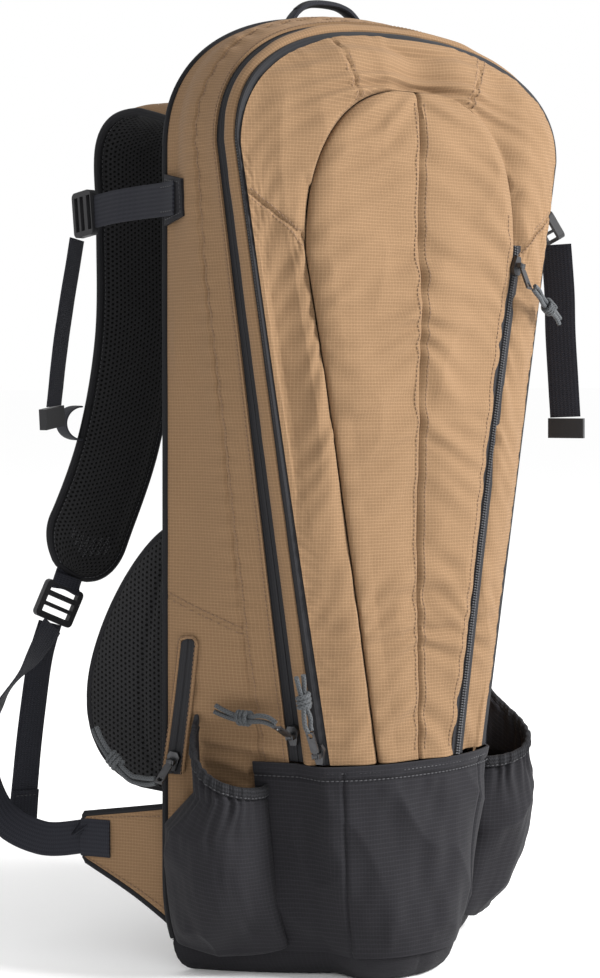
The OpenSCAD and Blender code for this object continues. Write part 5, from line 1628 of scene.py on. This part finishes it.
zk = np.linspace(0, 1, 90)[:, None]
zo = np.linspace(-1, 1, 13)[None, :]
round_top = 0.0052 * np.sqrt(np.clip(1 - np.clip((zk - 0.95) / 0.05, 0, 1) ** 2, 0.02, 1))
side_p, side_n = side_zip_point(zk, zo * round_top, 0.0022 + 0.0005 * bump_at(np.abs(zo) - 0.3, 0.15)
                                - 0.0007 * bump_at(zo, 0.1) + 0 * zk)
side_band = slab("side_zip_band", side_p, side_p - side_n * 0.0014,
                 (zo * 0.005 + 0 * zk, zk * 0.1 + 0 * zo))
place(side_band, "bag", zip_tape, "zip_tape", "side_zip_tape")
frame_k = np.linspace(0, 0.965, 60)
frame_line = np.concatenate([side_zip_point(frame_k, -0.0062 + 0 * frame_k, 0.0018 + 0 * frame_k)[0],
                             side_zip_point(np.array([0.995, 1.012, 1.012, 0.995]),
                                            np.array([-0.0058, -0.003, 0.003, 0.0058]), np.full(4, 0.0018))[0],
                             side_zip_point(frame_k[::-1], 0.0062 + 0 * frame_k, 0.0018 + 0 * frame_k)[0]])
surround = tube("side_zip_surround", smooth_run(frame_line[::2], 2), 0.0013, 8)
place(surround, "bag", tan_ripstop, "tan_ripstop")
sew("bag tan", frame_line + np.array([-0.0016, 0, 0]), (-1.0, 0.1, 0))
print("side zip")

# %% [markdown]
# The inside shows when the flaps are open: a tan lining over the frame sheet, a black sleeve for water and
# a divider between the two compartments. They are plain sewn sheets with a little slack in them.

# %% Inside the bag
def flat_sheet(name, node_name, body, finish, slot, slack):
    low, high = [np.array(c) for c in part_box(node_name)]
    inset_u = even_girth(0.035, girth_of(max(low[2], base_rise + 0.004)), 120, main_d / 2)
    mid_y = (low[1] + high[1]) / 2
    depth = np.clip(back_y - mid_y, 0, total_d)
    edge = wall(inset_u, depth + 0 * inset_u)
    v = np.linspace(-1, 1, 61)[None, :]
    shrink = 1 - 0.0075 / np.maximum(np.abs(edge[:, :1]), 0.02)
    x = edge[:, :1] * shrink * v
    z = np.clip(edge[:, 2:], low[2] + 0.001, high[2] - 0.001) + 0 * v
    h = slack * noise(x, z, 0.06) * (1 - v ** 6)
    outer = np.stack([x, mid_y - (0.0008 + h), z], -1)
    inner = np.stack([x, mid_y + 0.0006 - h, z], -1)
    piece = slab(name, outer, inner, (x, z))
    return place(piece, body, finish, slot, node_name)


flat_sheet("tan_back_lining", "back_lining", "bag", tan_lining, "tan_ripstop", 0.0006)
flat_sheet("tan_divider", "divider_panel", "main_flap", tan_lining, "tan_ripstop", 0.0008)


def sleeve():
    low, high = [np.array(c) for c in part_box("hydration_sleeve")]
    x = np.linspace(-1, 1, 61)
    bulge = np.where(np.abs(x) < 0.9, low[1] + 0.0012, high[1] - 0.002)
    z = np.linspace(low[2], high[2], 70)[:, None]
    xx = (np.interp(x, [-1, -0.9, 0.9, 1], [low[0], low[0] + 0.004, high[0] - 0.004, high[0]])[None, :]
          * 0.98)
    y = bulge[None, :] + 0.0010 * noise(xx, z, 0.05) * (np.abs(x) < 0.85)[None, :]
    outer = np.stack([xx + 0 * z, y, z + 0 * xx], -1)
    inner = outer + np.array([0, 0.0011, 0])
    piece = slab("water_sleeve", outer, inner, (xx + 0 * z, z + 0 * xx))
    place(piece, "bag", black_lining, "black_nylon", "hydration_sleeve")


sleeve()
print("lining, divider and sleeve")

# %% [markdown]
# Thread is what holds a soft bag together, and it is the last thing to be made here, because each row was
# only noted while its seam was built. All the stitches of one thread on one body become one piece.

# %% All the stitches
homes = {"bag tan": "bag", "bag black": "bag", "pouch tan": "front_pouch", "left strap": "left_strap",
         "right strap": "right_strap",
         "left_lock web": "left_lock", "right_lock web": "right_lock"}
for thread in sorted(stitches):
    piece, count = finish_stitches(thread, thread.replace(" ", "_") + "_stitches")
    is_tan = "tan" in thread
    place(piece, homes[thread], tan_thread if is_tan else black_thread, "tan_ripstop" if is_tan
          else "webbing")
    print(thread, count, "stitches")

# %% [markdown]
# The set is a pale floor under a bright even sky, with one large soft light from the front right, which
# leaves the left side of the bag in gentle shade.

# %% The studio
def lay_floor():
    mesh = bpy.data.meshes.new("floor")
    r = 60.0
    mesh.from_pydata([(-r, -r, 0), (r, -r, 0), (r, r, 0), (-r, r, 0)], [], [(0, 1, 2, 3)])
    floor = bpy.data.objects.new("floor", mesh)
    bpy.context.scene.collection.objects.link(floor)
    pale, _, shader = new_finish("pale_floor", 1.0, 0.0)
    shader.inputs["Base Color"].default_value = (0.985, 0.985, 0.985, 1)
    floor.data.materials.append(pale)


def even_sky(level):
    world = bpy.data.worlds.new("studio_sky")
    bpy.context.scene.world = world
    world.use_nodes = True
    world.node_tree.nodes["Background"].inputs["Color"].default_value = (1, 1, 1, 1)
    world.node_tree.nodes["Background"].inputs["Strength"].default_value = level


def soft_light(name, at, size, power, aim=(0, 0, 0.4)):
    light = bpy.data.lights.new(name, "AREA")
    light.size, light.energy = size, power
    lamp = bpy.data.objects.new(name, light)
    bpy.context.scene.collection.objects.link(lamp)
    lamp.location = at
    lamp.rotation_euler = (Vector(aim) - Vector(at)).to_track_quat("-Z", "Y").to_euler()


lay_floor()
even_sky(1.0)
soft_light("key_light", (1.35, -1.6, 1.5), 0.8, 105)
bpy.context.scene.view_settings.view_transform = "Standard"
print("studio set")
